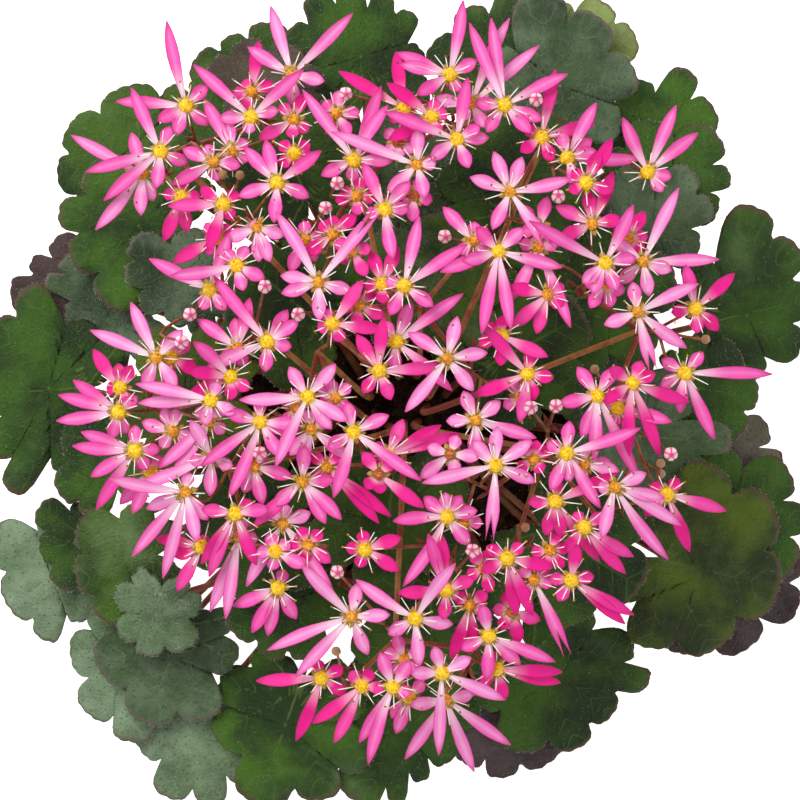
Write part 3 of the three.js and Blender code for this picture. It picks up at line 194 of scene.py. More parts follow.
# Blooms: petal tone and age of the ovary, depth in the head from 0, hidden, to 3, the centre, then the petal tips.
# Tones are pale, medium and vivid, and ovaries are yellow, orange or red-brown.
BLOOMS = [
    ["my", 2, [184, 103], [163, 15], [112, 97], [205, 82], [206, 122], [174, 133], [155, 118]],
    ["my", 2, [159, 150], [128, 84], [82, 169], [101, 199], [168, 124], [186, 161], [155, 187]],
    ["po", 1, [140, 172], [92, 228], [66, 131], [128, 129], [139, 214], [151, 199]],
    ["po", 2, [291, 72], [269, 1], [352, 8], [246, 43], [324, 79], [293, 104]],
    ["my", 2, [250, 115], [192, 62], [303, 68], [218, 116], [278, 108], [247, 132]],
    ["vo", 1, [250, 89], [257, 36], [272, 80], [243, 76]],
    ["vo", 1, [293, 118], [258, 137], [302, 92], [279, 101]],
    ["mo", 1, [231, 150], [202, 96], [226, 118], [213, 160]],
    ["mo", 1, [213, 161], [171, 183], [181, 147], [205, 143], [240, 165]],
    ["my", 3, [277, 183], [244, 146], [265, 139], [321, 150], [238, 196], [309, 197], [274, 223]],
    ["vy", 2, [223, 204], [167, 205], [208, 251], [232, 219], [200, 186]],
    ["vy", 0, [180, 196], [162, 240], [185, 231]],
    ["vy", 1, [294, 153], [279, 141], [300, 165]],
    ["po", 1, [257, 227], [259, 262], [270, 262], [284, 236], [226, 240], [251, 222]],
    ["my", 3, [237, 266], [171, 277], [247, 246], [265, 279], [244, 291]],
    ["my", 2, [210, 290], [148, 258], [229, 233], [202, 310], [226, 310]],
    ["vy", 0, [216, 238], [172, 262], [206, 254]],
    ["mo", 0, [305, 240], [290, 272], [316, 262]],
    ["vo", 1, [333, 235], [305, 255], [320, 222], [356, 215]],
    ["po", 3, [319, 283], [276, 212], [380, 208], [281, 276], [282, 294], [352, 291], [320, 321]],
    ["my", 2, [354, 160], [302, 88], [381, 84], [388, 104], [321, 175], [393, 160], [352, 182]],
    ["vo", 0, [357, 196], [335, 200], [340, 190]],
    ["my", 2, [268, 342], [214, 276], [205, 370], [288, 310], [299, 321], [292, 347], [266, 372]],
    ["mo", 1, [238, 348], [197, 319], [235, 318], [250, 298]],
    ["vy", 2, [231, 377], [186, 398], [195, 342], [190, 372], [250, 390], [232, 400]],
    ["vy", 1, [170, 357], [198, 372], [190, 342]],
    ["po", 3, [157, 358], [130, 302], [89, 330], [183, 330], [177, 388], [144, 388]],
    ["vy", 1, [119, 388], [91, 349], [117, 363], [131, 365], [105, 388]],
    ["my", 2, [118, 412], [54, 421], [71, 380], [56, 395], [136, 396], [125, 434], [110, 439]],
    ["my", 2, [135, 451], [80, 432], [71, 446], [90, 477], [95, 510], [135, 425], [160, 449], [148, 470]],
    ["po", 1, [173, 431], [141, 422], [162, 408], [176, 408], [160, 448]],
    ["py", 3, [212, 400], [138, 403], [136, 384], [236, 414], [205, 425]],
    ["po", 1, [210, 421], [172, 478], [159, 468]],
    ["po", 1, [212, 457], [136, 487], [210, 496], [233, 467], [190, 462], [191, 420]],
    ["po", 3, [186, 492], [110, 478], [131, 557], [162, 579], [146, 509], [189, 472], [208, 520], [198, 541]],
    ["my", 0, [150, 472], [118, 505], [131, 514]],
    ["vy", 2, [202, 547], [155, 539], [176, 592], [173, 557], [202, 535]],
    ["py", 3, [308, 397], [240, 400], [277, 466], [290, 367], [336, 364], [348, 421], [332, 429]],
    ["mo", 0, [297, 408]],
    ["mo", 0, [336, 398], [350, 384], [330, 380], [345, 408]],
    ["po", 1, [312, 429], [350, 458], [300, 468], [290, 455]],
    ["my", 2, [261, 422], [201, 466], [229, 498], [227, 413], [288, 430], [300, 423], [283, 457], [261, 397]],
    ["mo", 1, [254, 466], [263, 504], [244, 493], [293, 477]],
    ["mo", 2, [303, 481], [254, 526], [342, 519], [326, 523], [274, 505], [335, 478], [305, 445]],
    ["vy", 2, [236, 513], [201, 564], [209, 577], [257, 565], [202, 509], [270, 508], [252, 500]],
    ["po", 1, [239, 536], [225, 620], [209, 613]],
    ["po", 1, [283, 523], [246, 587], [333, 590], [311, 512]],
    ["my", 2, [276, 551], [306, 566], [290, 541]],
    ["my", 0, [278, 588], [232, 607], [251, 634], [267, 637], [296, 620]],
    ["vo", 1, [308, 544], [331, 562], [322, 530]],
    ["my", 2, [354, 432], [421, 480], [334, 497], [347, 402], [389, 415], [328, 448]],
    ["vo", 0, [327, 467], [391, 516], [379, 523]],
    ["vr", 1, [379, 474], [424, 507], [363, 452]],
    ["vy", 1, [365, 549], [401, 537], [399, 570]],
    ["mo", 0, [336, 112], [338, 88], [350, 135], [326, 118], [360, 110], [322, 100]],
    ["pr", 0, [398, 142], [388, 152], [410, 132], [398, 158]],
    ["mr", 0, [414, 196], [412, 222], [405, 206]],
    ["vy", 1, [404, 107], [338, 68], [396, 48]],
    ["vy", 2, [432, 116], [387, 82], [388, 140], [448, 112]],
    ["my", 3, [457, 139], [384, 112], [468, 76], [480, 125], [489, 137], [469, 168], [431, 160]],
    ["my", 2, [450, 73], [464, -4], [397, 50], [400, 62], [477, 58], [417, 94], [459, 90]],
    ["my", 3, [505, 104], [492, 14], [470, 20], [569, 71], [475, 101], [487, 131], [532, 132], [543, 119]],
    ["po", 1, [472, 102], [511, 13], [541, 41], [432, 98], [485, 126]],
    ["vy", 2, [542, 136], [557, 66], [597, 121], [521, 151], [553, 160]],
    ["my", 2, [568, 157], [598, 100], [644, 156], [562, 130], [593, 137], [597, 149], [577, 186]],
    ["po", 2, [417, 165], [331, 132], [418, 127], [387, 193], [425, 198]],
    ["po", 3, [510, 192], [494, 151], [522, 157], [571, 179], [470, 177], [492, 230], [550, 251]],
    ["vy", 2, [586, 183], [613, 137], [600, 150], [613, 191]],
    ["vo", 1, [592, 224], [587, 188], [614, 170], [556, 206], [560, 238], [622, 219]],
    ["vo", 0, [630, 238], [646, 210], [614, 250]],
    ["mr", 0, [540, 228], [548, 196], [520, 205], [562, 240], [530, 262]],
    ["mo", 0, [606, 284], [590, 308], [612, 307], [584, 282], [625, 292]],
    ["my", 2, [650, 170], [680, 101], [702, 129], [624, 116], [674, 175], [665, 190]],
    ["my", 2, [385, 210], [363, 163], [393, 260], [410, 182], [409, 209]],
    ["my", 2, [404, 287], [419, 217], [467, 245], [433, 307], [390, 316]],
    ["my", 1, [396, 342], [463, 294], [452, 391], [411, 303], [383, 322], [394, 374]],
    ["po", 3, [447, 359], [457, 317], [487, 353], [473, 391], [408, 333], [405, 412]],
    ["my", 3, [498, 252], [481, 335], [510, 330], [562, 268], [476, 228], [523, 229], [440, 273], [462, 262]],
    ["mo", 1, [473, 241], [443, 207]],
    ["mo", 0, [538, 248], [570, 328], [512, 300]],
    ["vo", 1, [547, 295], [509, 287], [511, 328], [536, 334]],
    ["vy", 2, [501, 336], [547, 357], [478, 345], [500, 366]],
    ["vy", 2, [527, 374], [484, 326], [473, 395], [553, 378], [531, 350], [534, 400], [519, 422]],
    ["my", 3, [605, 263], [528, 222], [634, 204], [637, 257], [617, 291], [582, 283], [592, 294]],
    ["po", 2, [644, 261], [681, 186], [722, 258], [612, 238], [673, 270], [650, 296], [619, 283]],
    ["po", 3, [638, 312], [700, 283], [688, 348], [654, 372], [633, 282], [604, 325]],
    ["vy", 2, [697, 308], [738, 272], [687, 264], [673, 312], [699, 333], [721, 330]],
    ["my", 2, [686, 373], [776, 374], [717, 440], [705, 352], [663, 359], [662, 387], [681, 413]],
    ["vy", 3, [632, 383], [629, 456], [661, 457], [690, 402], [609, 368], [641, 361], [655, 373], [604, 402]],
    ["my", 2, [597, 396], [639, 480], [594, 460], [577, 367], [614, 368], [558, 404], [581, 438]],
    ["my", 0, [618, 408], [672, 422]],
    ["vo", 1, [359, 306], [375, 290], [385, 317]],
    ["vy", 2, [333, 324], [383, 330], [363, 281], [325, 310], [318, 330], [343, 342]],
    ["vy", 2, [379, 371], [444, 366], [384, 318], [357, 335], [363, 393], [391, 400]],
    ["vy", 1, [383, 285], [398, 247], [371, 252]],
    ["vo", 1, [352, 252], [367, 277], [338, 262]],
    ["po", 1, [475, 420], [536, 438], [463, 391], [446, 421], [473, 457], [500, 401]],
    ["mo", 0, [520, 398]],
    ["pr", 1, [450, 454], [457, 435], [420, 478], [427, 446], [480, 456]],
    ["vy", 0, [388, 455], [459, 433], [441, 425], [403, 419]],
    ["py", 3, [495, 465], [422, 482], [489, 541], [497, 426], [473, 440], [531, 440], [535, 482]],
    ["vo", 1, [533, 459], [542, 472]],
    ["my", 3, [566, 453], [640, 428], [600, 508], [569, 421], [546, 442], [569, 482], [550, 490]],
    ["my", 2, [447, 516], [393, 520], [403, 586], [424, 496], [445, 492], [461, 495], [477, 510], [470, 545]],
    ["mo", 0, [463, 522]],
    ["vy", 2, [507, 558], [517, 616], [533, 616], [553, 567], [486, 546], [522, 543], [481, 571]],
    ["vy", 2, [555, 501], [600, 562], [617, 473], [558, 480], [528, 502], [545, 535], [563, 538]],
    ["vo", 1, [550, 550], [557, 531], [563, 568]],
    ["po", 1, [584, 464], [612, 463], [619, 471]],
    ["po", 3, [614, 487], [665, 498], [682, 526], [669, 560], [601, 538], [597, 487], [646, 473]],
    ["vy", 2, [668, 495], [729, 512], [692, 553], [680, 479], [651, 485], [646, 516]],
    ["vy", 2, [584, 527], [634, 557], [626, 574], [604, 514], [574, 512], [565, 552]],
    ["vy", 2, [571, 580], [626, 625], [635, 616], [576, 543], [549, 578], [558, 601], [594, 576]],
    ["mo", 1, [534, 580], [569, 658], [523, 596], [549, 567]],
    ["vo", 0, [484, 568], [490, 592], [472, 552]],
    ["vr", 0, [512, 612], [500, 630], [541, 621], [520, 644], [505, 592]],
    ["vy", 2, [446, 590], [428, 533], [441, 533], [398, 592], [474, 578], [443, 619], [470, 603]],
    ["py", 3, [415, 618], [356, 579], [455, 562], [453, 624], [419, 667], [388, 634]],
    ["my", 3, [489, 636], [556, 663], [521, 666], [482, 604], [461, 650], [487, 682]],
    ["vo", 1, [470, 605], [487, 592], [451, 660], [472, 648]],
    ["vy", 2, [497, 670], [564, 674], [562, 685], [506, 702], [481, 687]],
    ["py", 3, [442, 673], [505, 701], [439, 757], [434, 646], [471, 657], [411, 673]],
    ["po", 2, [446, 701], [405, 763], [475, 776], [512, 749], [410, 706], [474, 696]],
    ["mo", 1, [404, 660], [396, 634], [384, 652]],
    ["my", 1, [409, 698], [396, 736], [391, 720], [424, 682]],
    ["po", 3, [352, 616], [267, 651], [295, 678], [302, 564], [390, 614], [368, 655], [357, 583]],
    ["vy", 2, [321, 679], [255, 683], [295, 744], [345, 696], [343, 668]],
    ["vy", 2, [362, 687], [312, 725], [334, 745], [385, 690], [350, 672]],
    ["my", 2, [393, 687], [368, 766], [359, 744], [380, 652], [410, 660]],
]

# Petals with a cleft tip, by the place of the tip, then unopened buds, and which of those are small and brown
CLEFT_TIPS = [[380, 208], [550, 251], [654, 372], [489, 541], [569, 658]]
BUDS = [
    [190, 314], [265, 288], [300, 315], [444, 236], [706, 340], [529, 408], [525, 528], [473, 550],
    [670, 453], [661, 464], [663, 474], [337, 570], [337, 651], [345, 92], [240, 176], [222, 175],
    [338, 183], [595, 370], [558, 198], [536, 100], [555, 405], [262, 453], [185, 342], [325, 208],
]
BROWN_BUDS = [[706, 340], [661, 464], [663, 474], [525, 528], [337, 651], [240, 176], [222, 175], [595, 370]]

# How deep a bloom's pink is, by the first letter of its look
TONES = {"p": 0.12, "m": 0.5, "v": 0.92}

# Flowering stems: each is one branched spray, given by the forks that its flower stalks leave from
SPRAYS = [
    [[172, 150], [262, 120], [232, 220]],
    [[360, 178], [450, 122], [318, 250]],
    [[540, 150], [500, 215]],
    [[262, 330], [165, 420], [225, 285]],
    [[318, 352], [300, 430], [360, 440]],
    [[230, 470], [250, 540]],
    [[420, 308], [470, 250], [470, 372]],
    [[640, 330], [580, 290], [610, 410]],
    [[545, 450], [600, 520], [490, 490], [510, 560]],
    [[395, 640], [470, 650], [345, 690], [450, 560]],
]

rng = np.random.default_rng(11)


# Number helpers
def polar(radius, degrees):
    angle = np.radians(degrees)
    return np.array([radius * np.cos(angle), radius * np.sin(angle)])


def bearing(x, y):
    return math.degrees(math.atan2(y, x)) % 360


def ease(value, low=0.0, high=1.0):
    """0 below low, 1 above high and a smooth climb between them."""
    t = np.clip((np.asarray(value, float) - low) / (high - low), 0, 1)
    return t * t * (3 - 2 * t)


def place(at, height):
    """A place in the photograph as millimetres at a given height under the camera."""
    scale = MM_PER_PIXEL * (VIEW_HEIGHT - height) / (VIEW_HEIGHT - BLOOM_LEVEL)
    return np.array([(at[0] - PHOTO_CENTRE) * scale, (PHOTO_CENTRE - at[1]) * scale])


def head_height(x, y):
    return HEAD_TOP - HEAD_FALL * (x * x + y * y)


def leaf_height(tier, x, y):
    return LEAF_LEVEL + LEAF_TIER * tier - LEAF_FALL * (x * x + y * y)


# Forms: what one piece is made of
class Form:
    """Corner points in millimetres, faces, and three tint values for each corner, gathered into one piece."""

    def __init__(self):
        self.points, self.faces, self.tints = [], [], []
        self.count = 0

    def add(self, points, faces, tints):
        points = np.asarray(points, float).reshape(-1, 3)
        self.points.append(points)
        self.tints.append(np.broadcast_to(np.asarray(tints, float), (len(points), 3)))
        self.faces.extend([tuple(corner + self.count for corner in face) for face in faces])
        self.count += len(points)

    def piece(self, name, material, slot, nodes):
        mesh = new_mesh(name, np.vstack(self.points) * MM, self.faces)
        facing = bmesh.new()
        facing.from_mesh(mesh)
        bmesh.ops.recalc_face_normals(facing, faces=facing.faces)
        facing.to_mesh(mesh)
        facing.free()
        tint = mesh.attributes.new("tint", "FLOAT_COLOR", "POINT")
        shades = np.hstack([np.vstack(self.tints), np.ones((self.count, 1))])
        tint.data.foreach_set("color", shades.astype(np.float32).ravel())
        mesh.shade_smooth()
        mesh.materials.append(material)
        return dress(new_object(name, mesh), nodes)


def new_mesh(name, corners, faces):
    mesh = bpy.data.meshes.new(name)
    mesh.from_pydata(np.asarray(corners, float).tolist(), [], faces)
    return mesh


def new_object(name, data):
    made = bpy.data.objects.new(name, data)
    bpy.context.scene.collection.objects.link(made)
    return made


def dress(piece, nodes):
    """Puts a piece in the scene in place of the CAD nodes that it stands for."""
    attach(piece, "root")
    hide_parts(*nodes)
    return piece


def grid_faces(rows, columns, start=0, closed=False):
    """Quads between the points of a grid, whose last column joins its first where it is closed."""
    across = columns if closed else columns - 1
    return [
        (start + r * columns + c, start + r * columns + (c + 1) % columns,
         start + (r + 1) * columns + (c + 1) % columns, start + (r + 1) * columns + c)
        for r in range(rows - 1) for c in range(across)
    ]


def thin_sheet(form, upper, thickness, tints):
    """A closed sheet from a grid of points on its upper face."""
    rows, columns, _ = upper.shape
    lower = upper.copy()
    lower[..., 2] -= thickness
    size = rows * columns
    faces = grid_faces(rows, columns) + [face[::-1] for face in grid_faces(rows, columns, size)]
    edge = [(0, c) for c in range(columns)] + [(r, columns - 1) for r in range(1, rows)]
    edge += [(rows - 1, c) for c in range(columns - 2, -1, -1)] + [(r, 0) for r in range(rows - 2, 0, -1)]
    around = [r * columns + c for r, c in edge]
    for here, after in zip(around, around[1:] + around[:1]):
        faces.append((after, here, here + size, after + size))
    form.add(np.vstack([upper.reshape(-1, 3), lower.reshape(-1, 3)]), faces, np.vstack([tints, tints]))


def tube(form, path, radii, tints, sides=6):
    """A round stem along a line of points, closed at both ends."""
    path = np.asarray(path, float)
    radii = np.broadcast_to(np.asarray(radii, float), len(path))
    tints = np.broadcast_to(np.asarray(tints, float), (len(path), 3))
    tangents = np.gradient(path, axis=0)
    tangents /= np.linalg.norm(tangents, axis=1)[:, None]
    side = np.cross(tangents[0], [0.31, 0.95, 0.05])
    angles = np.arange(sides) * 2 * np.pi / sides
    rings = []
    for point, tangent, radius in zip(path, tangents, radii):
        side = side - tangent * side.dot(tangent)
        side /= np.linalg.norm(side)
        other = np.cross(tangent, side)
        rings.append(point + radius * (np.outer(np.cos(angles), side) + np.outer(np.sin(angles), other)))
    faces = grid_faces(len(path), sides, closed=True)
    last = (len(path) - 1) * sides
    faces += [tuple(range(sides))[::-1], tuple(range(last, last + sides))]
    form.add(np.vstack(rings), faces, np.repeat(tints, sides, axis=0))


def smooth_line(points, count):
    """Evenly spaced points on a centripetal curve through the given ones."""
    points = [np.asarray(p, float) for p in points]
    points = [2 * points[0] - points[1]] + points + [2 * points[-1] - points[-2]]
    line = []
    for a, b, c, d in zip(points, points[1:], points[2:], points[3:]):
        t1, t2, t3 = np.cumsum([np.linalg.norm(q - p) ** 0.5 for p, q in ((a, b), (b, c), (c, d))])
        for t in np.linspace(t1, t2, 12, endpoint=False):
            ab = a * (t1 - t) / t1 + b * t / t1
            bc = b * (t2 - t) / (t2 - t1) + c * (t - t1) / (t2 - t1)
            cd = c * (t3 - t) / (t3 - t2) + d * (t - t2) / (t3 - t2)
            abc = ab * (t2 - t) / t2 + bc * t / t2
            bcd = bc * (t3 - t) / (t3 - t1) + cd * (t - t1) / (t3 - t1)
            line.append(abc * (t2 - t) / (t2 - t1) + bcd * (t - t1) / (t2 - t1))
    line = np.array(line + [points[-2]])
    along = np.concatenate([[0], np.cumsum(np.linalg.norm(np.diff(line, axis=0), axis=1))])
    even = np.linspace(0, along[-1], count)
    return np.column_stack([np.interp(even, along, line[:, k]) for k in range(3)])


def corners_of(node):
    """The corner points of a CAD node in millimetres, each once."""
    points = np.array([v.co[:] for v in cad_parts[node].data.vertices]) / MM
    return np.unique(points.round(3), axis=0)


# Finishes: shader nodes by plain names
def paint(red, green, blue):
    """A colour in the screen's own values, 0 to 255, as the shader reads it."""
    def level(value):
        value /= 255
        return value / 12.92 if value <= 0.04045 else ((value + 0.055) / 1.055) ** 2.4
    return (level(red), level(green), level(blue), 1)


def as_read(value):
    """A colour given by three screen values as the shader reads it, and any other value as it is."""
    return paint(*value) if isinstance(value, tuple) and len(value) == 3 else value


class Board:
    """Places and links the nodes of one material, round its shader, or of one node group."""

    def __init__(self, tree, shader=None):
        self.tree, self.shader = tree, shader

    def node(self, kind, inputs=(), **settings):
        made = self.tree.nodes.new(kind)
        for key, value in settings.items():
            setattr(made, key, value)
        for key, value in dict(inputs).items():
            self.feed(made.inputs[key], value)
        return made

    def feed(self, socket, value):
        if isinstance(value, bpy.types.NodeSocket):
            self.tree.links.new(value, socket)
        elif value is not None:
            socket.default_value = as_read(value)

    def colour(self, value):
        self.feed(self.shader.inputs["Base Color"], value)

    def relief(self, height, distance, strength=1.0):
        """Raises the surface by a height map."""
        values = {"Height": height, "Distance": distance * MM, "Strength": strength}
        self.feed(self.shader.inputs["Normal"], self.node("ShaderNodeBump", values).outputs[0])

    def sum(self, operation, one, two=None):
        made = self.node("ShaderNodeMath", operation=operation)
        for socket, value in zip(made.inputs, (one, two)):
            self.feed(socket, value)
        return made.outputs[0]

    def times(self, one, two):
        return self.sum("MULTIPLY", one, two)

    def plus(self, one, two):
        return self.sum("ADD", one, two)

    def step(self, value, low, high, to_low=0.0, to_high=1.0):
        """A smooth climb of a value between two limits."""
        made = self.node("ShaderNodeMapRange", interpolation_type="SMOOTHSTEP")
        for socket, given in zip(made.inputs, (value, low, high, to_low, to_high)):
            self.feed(socket, given)
        return made.outputs[0]

    def blend(self, amount, one, two):
        made = self.node("ShaderNodeMix", data_type="RGBA")
        self.feed(made.inputs[0], amount)
        self.feed(made.inputs[6], one)
        self.feed(made.inputs[7], two)
        return made.outputs[2]

    def tint(self):
        """The three tint values of the surface."""
        read = self.node("ShaderNodeAttribute", attribute_name="tint")
        return self.node("ShaderNodeSeparateColor", {"Color": read.outputs["Color"]}).outputs[:3]

    def spot(self):
        return self.node("ShaderNodeTexCoord").outputs["Object"]

    def vector(self, x, y, z=0.0):
        return self.node("ShaderNodeCombineXYZ", {"X": x, "Y": y, "Z": z}).outputs[0]

    def noise(self, vector, scale, detail=2.0, roughness=0.5):
        values = {"Vector": vector, "Scale": scale, "Detail": detail, "Roughness": roughness}
        return self.node("ShaderNodeTexNoise", values).outputs["Fac"]


def finish_material(name, roughness, **constants):
    """A material, the board that its nodes go on, and its constant values set on the shader."""
    material = bpy.data.materials.new(name)
    material.use_nodes = True
    shader = material.node_tree.nodes["Principled BSDF"]
    shader.inputs["Roughness"].default_value = roughness
    for key, value in constants.items():
        shader.inputs[key.replace("_", " ")].default_value = value
    return material, Board(material.node_tree, shader)


def new_group(name, inputs, outputs):
    tree = bpy.data.node_groups.new(name, "ShaderNodeTree")
    for label, kind, value in inputs:
        tree.interface.new_socket(label, in_out="INPUT", socket_type=kind).default_value = as_read(value)
    for label, kind in outputs:
        tree.interface.new_socket(label, in_out="OUTPUT", socket_type=kind)
    board = Board(tree)
    given = tree.nodes.new("NodeGroupInput").outputs
    return tree, board, given, tree.nodes.new("NodeGroupOutput").inputs


COLOUR, NUMBER = "NodeSocketColor", "NodeSocketFloat"


def leaf_skin_group():
    """The hairy saxifrage leaf. Tints: 0 on a lobe's vein to 1 in a notch, 0 in the middle to 1 at the rim, and
    1 on the underside."""
    tree, board, given, out = new_group("leaf_skin", [
        ("Deep", COLOUR, (30, 50, 14)), ("Bright", COLOUR, (60, 92, 30)),
        # Painted sheen: a grey-green colour for light caught on the leaf's hairs, painted into its colour, and how
        # much of it shows
        ("Painted Sheen", COLOUR, (120, 142, 112)), ("Painted Sheen Amount", NUMBER, 0.3),
        ("Rim", COLOUR, (86, 62, 52)), ("Vein", COLOUR, (92, 112, 62)), ("Dots", NUMBER, 0.3),
    ], [("Color", COLOUR), ("Roughness", NUMBER), ("Height", NUMBER)])
    fold, reach, under = board.tint()
    spot = board.spot()
    patch = board.step(board.noise(spot, 55, 3), 0.35, 0.65)
    colour = board.blend(patch, given["Deep"], given["Bright"])
    # Painted sheen: cloudy grey-green patches mixed into the base colour stand for light caught on the hairy leaf;
    # the leaf is made a little rougher there
    clouds = board.step(board.plus(board.noise(spot, 38, 4, 0.6), given["Painted Sheen Amount"]), 0.68, 1.02)
    colour = board.blend(clouds, colour, given["Painted Sheen"])
    streak = board.noise(board.vector(board.times(fold, 22.0), board.times(reach, 5.0)), 3.0, 3)
    colour = board.blend(board.step(streak, 0.5, 0.75, 0.0, 0.35), colour, given["Vein"])
    apart = board.times(fold, reach)
    vein = board.step(apart, 0.0, 0.06, 1.0, 0.0)
    fade = board.step(reach, 0.3, 0.95, 1.0, 0.15)
    wave = board.sum("SINE", board.plus(board.times(reach, 38.0), board.times(fold, -9.0)))
    side = board.times(board.step(wave, 0.9, 1.0), board.step(fold, 0.1, 0.8, 0.5, 0.0))
    lines = board.sum("MAXIMUM", board.times(vein, fade), side)
    colour = board.blend(board.times(lines, 0.7), colour, given["Vein"])
    cells = board.node("ShaderNodeTexVoronoi", {"Vector": spot, "Scale": 620.0}).outputs["Distance"]
    dot = board.times(board.step(cells, 0.16, 0.3, 1.0, 0.0), given["Dots"])
    colour = board.blend(dot, colour, given["Deep"])
    rough_rim = board.plus(reach, board.times(board.noise(spot, 900, 2), 0.03))
    colour = board.blend(board.step(rough_rim, 0.972, 1.012), colour, given["Rim"])
    colour = board.blend(board.times(under, 0.7), colour, (120, 104, 96))
    board.feed(out["Color"], colour)
    board.feed(out["Roughness"], board.step(clouds, 0, 1, 0.5, 0.62))
    grain = board.times(board.noise(spot, 1500, 3), 0.5)
    pucker = board.times(board.noise(spot, 330, 3), 0.6)
    board.feed(out["Height"], board.plus(board.plus(grain, pucker), board.times(lines, 0.12)))
    return tree


LEAF_SKIN = leaf_skin_group()
GREEN_RIM, GREY_RIM = (88, 70, 52), (104, 96, 82)
# The fifth and sixth values of each finish are the colour and amount of painted sheen, grey light caught on the
# hairy leaf and painted into its colour
LEAF_FINISHES = {
    "D": ("leaf_dark_green", "leaf_green", (20, 42, 4), (54, 92, 8), (84, 114, 60), 0.12, GREEN_RIM,
          (92, 124, 50), 0.25),
    "G": ("leaf_mid_green", "leaf_green", (24, 50, 6), (64, 98, 16), (104, 132, 82), 0.2, GREEN_RIM,
          (98, 122, 66), 0.3),
    "B": ("leaf_bright_green", "leaf_green", (22, 50, 4), (62, 102, 10), (98, 130, 70), 0.12, GREEN_RIM,
          (96, 124, 58), 0.2),
    "Y": ("leaf_yellow_green", "leaf_green", (96, 116, 50), (150, 166, 84), (160, 176, 118), 0.25,
          (120, 100, 70), (166, 178, 110), 0.15),
    "O": ("leaf_olive", "leaf_green", (30, 46, 3), (80, 102, 6), (92, 112, 58), 0.13, GREEN_RIM,
          (92, 106, 56), 0.3),
    "K": ("leaf_grey_green", "leaf_grey", (30, 50, 22), (62, 86, 46), (110, 132, 102), 0.28, GREY_RIM,
          (118, 136, 104), 0.4),
    "S": ("leaf_silver", "leaf_grey", (56, 80, 44), (92, 118, 78), (142, 164, 132), 0.34, GREY_RIM,
          (150, 168, 138), 0.5),
    "P": ("leaf_purple", "leaf_purple", (40, 28, 30), (72, 56, 54), (104, 92, 92), 0.26,
          (70, 44, 44), (104, 84, 80), 0.3),
    "Z": ("leaf_bronze", "leaf_purple", (58, 44, 38), (86, 76, 58), (118, 112, 98), 0.3,
          (80, 56, 46), (112, 98, 80), 0.35),
}


def leaf_material(kind):
    name, _, deep, bright, painted_sheen, amount, rim, vein, dots = LEAF_FINISHES[kind]
    material, board = finish_material(name, 0.55, Specular_IOR_Level=0.28)
    skin = board.node("ShaderNodeGroup", node_tree=LEAF_SKIN)
    # The painted sheen colour and amount go to the skin along with the leaf's own colours
    values = {"Deep": deep, "Bright": bright, "Painted Sheen": painted_sheen, "Painted Sheen Amount": amount, "Rim": rim, "Vein": vein,
              "Dots": dots}
    for key, value in values.items():
        board.feed(skin.inputs[key], value)
    board.colour(skin.outputs["Color"])
    board.feed(board.shader.inputs["Roughness"], skin.outputs["Roughness"])
    board.relief(skin.outputs["Height"], 1.0, 1.5)
    return material


def petal_material():
    """Tints: 0 at the petal's root to 1 at its tip, 0 on its middle line to 1 at its edge, and its tone."""
    material, board = finish_material("petal", 0.48, Specular_IOR_Level=0.3, Subsurface_Weight=0.15,
                                      Subsurface_Radius=(0.0012, 0.0006, 0.0008))
    along, edge, tone = board.tint()
    pale = board.blend(board.step(tone, 0.0, 0.5), (248, 140, 208), (244, 88, 182))
    body = board.blend(board.step(tone, 0.5, 1.0), pale, (236, 16, 142))
    stripe = board.times(board.step(edge, 0.0, 0.6, 1.0, 0.0), board.step(tone, 0.1, 0.95, 0.45, 0.0))
    body = board.blend(stripe, body, (253, 206, 234))
    root = board.times(board.step(along, 0.05, 0.5, 1.0, 0.0), board.step(tone, 0.3, 1.0, 0.95, 0.6))
    body = board.blend(root, body, (253, 226, 236))
    fine = board.noise(board.vector(board.times(edge, 9.0), board.times(along, 1.6), tone), 4.0, 3)
    body = board.blend(board.step(fine, 0.45, 0.75, 0.0, 0.22), body, (226, 60, 150))
    rim = board.times(board.step(edge, 0.68, 1.0), board.step(along, 0.15, 0.5, 0.25, 0.85))
    tip = board.step(along, 0.8, 1.0, 0.0, 0.85)
    deep = board.blend(board.step(tone, 0.0, 1.0), (226, 62, 156), (206, 6, 118))
    body = board.blend(board.sum("MAXIMUM", rim, tip), body, deep)
    spot = board.spot()
    cells = board.node("ShaderNodeTexVoronoi", {"Vector": spot, "Scale": 210.0})
    lot = board.node("ShaderNodeSeparateColor", {"Color": cells.outputs["Color"]}).outputs[0]
    chosen = board.step(lot, 0.8, 0.81)
    speck = board.times(board.step(cells.outputs["Distance"], 0.05, 0.075, 1.0, 0.0), chosen)
    body = board.blend(speck, body, (60, 20, 44))
    board.colour(body)
    board.relief(fine, 0.25, 0.5)
    return material


def ovary_material():
    """Tints: 0 young to 1 old, and 0 low to 1 on top."""
    material, board = finish_material("ovary", 0.42, Specular_IOR_Level=0.45)
    age, rise, _ = board.tint()
    spot = board.spot()
    lumps = board.noise(spot, 1400, 3)
    young = board.blend(board.step(lumps, 0.4, 0.65), (236, 176, 12), (252, 222, 22))
    old = board.blend(board.step(lumps, 0.4, 0.65), (206, 120, 20), (246, 184, 24))
    dead = board.blend(board.step(lumps, 0.4, 0.65), (150, 66, 24), (214, 128, 36))
    colour = board.blend(board.step(age, 0.0, 0.5), young, old)
    colour = board.blend(board.step(age, 0.5, 1.0), colour, dead)
    colour = board.blend(board.step(rise, 0.0, 0.45, 0.6, 0.0), colour, (178, 168, 26))
    board.colour(colour)
    board.relief(lumps, 0.3, 0.8)
    return material


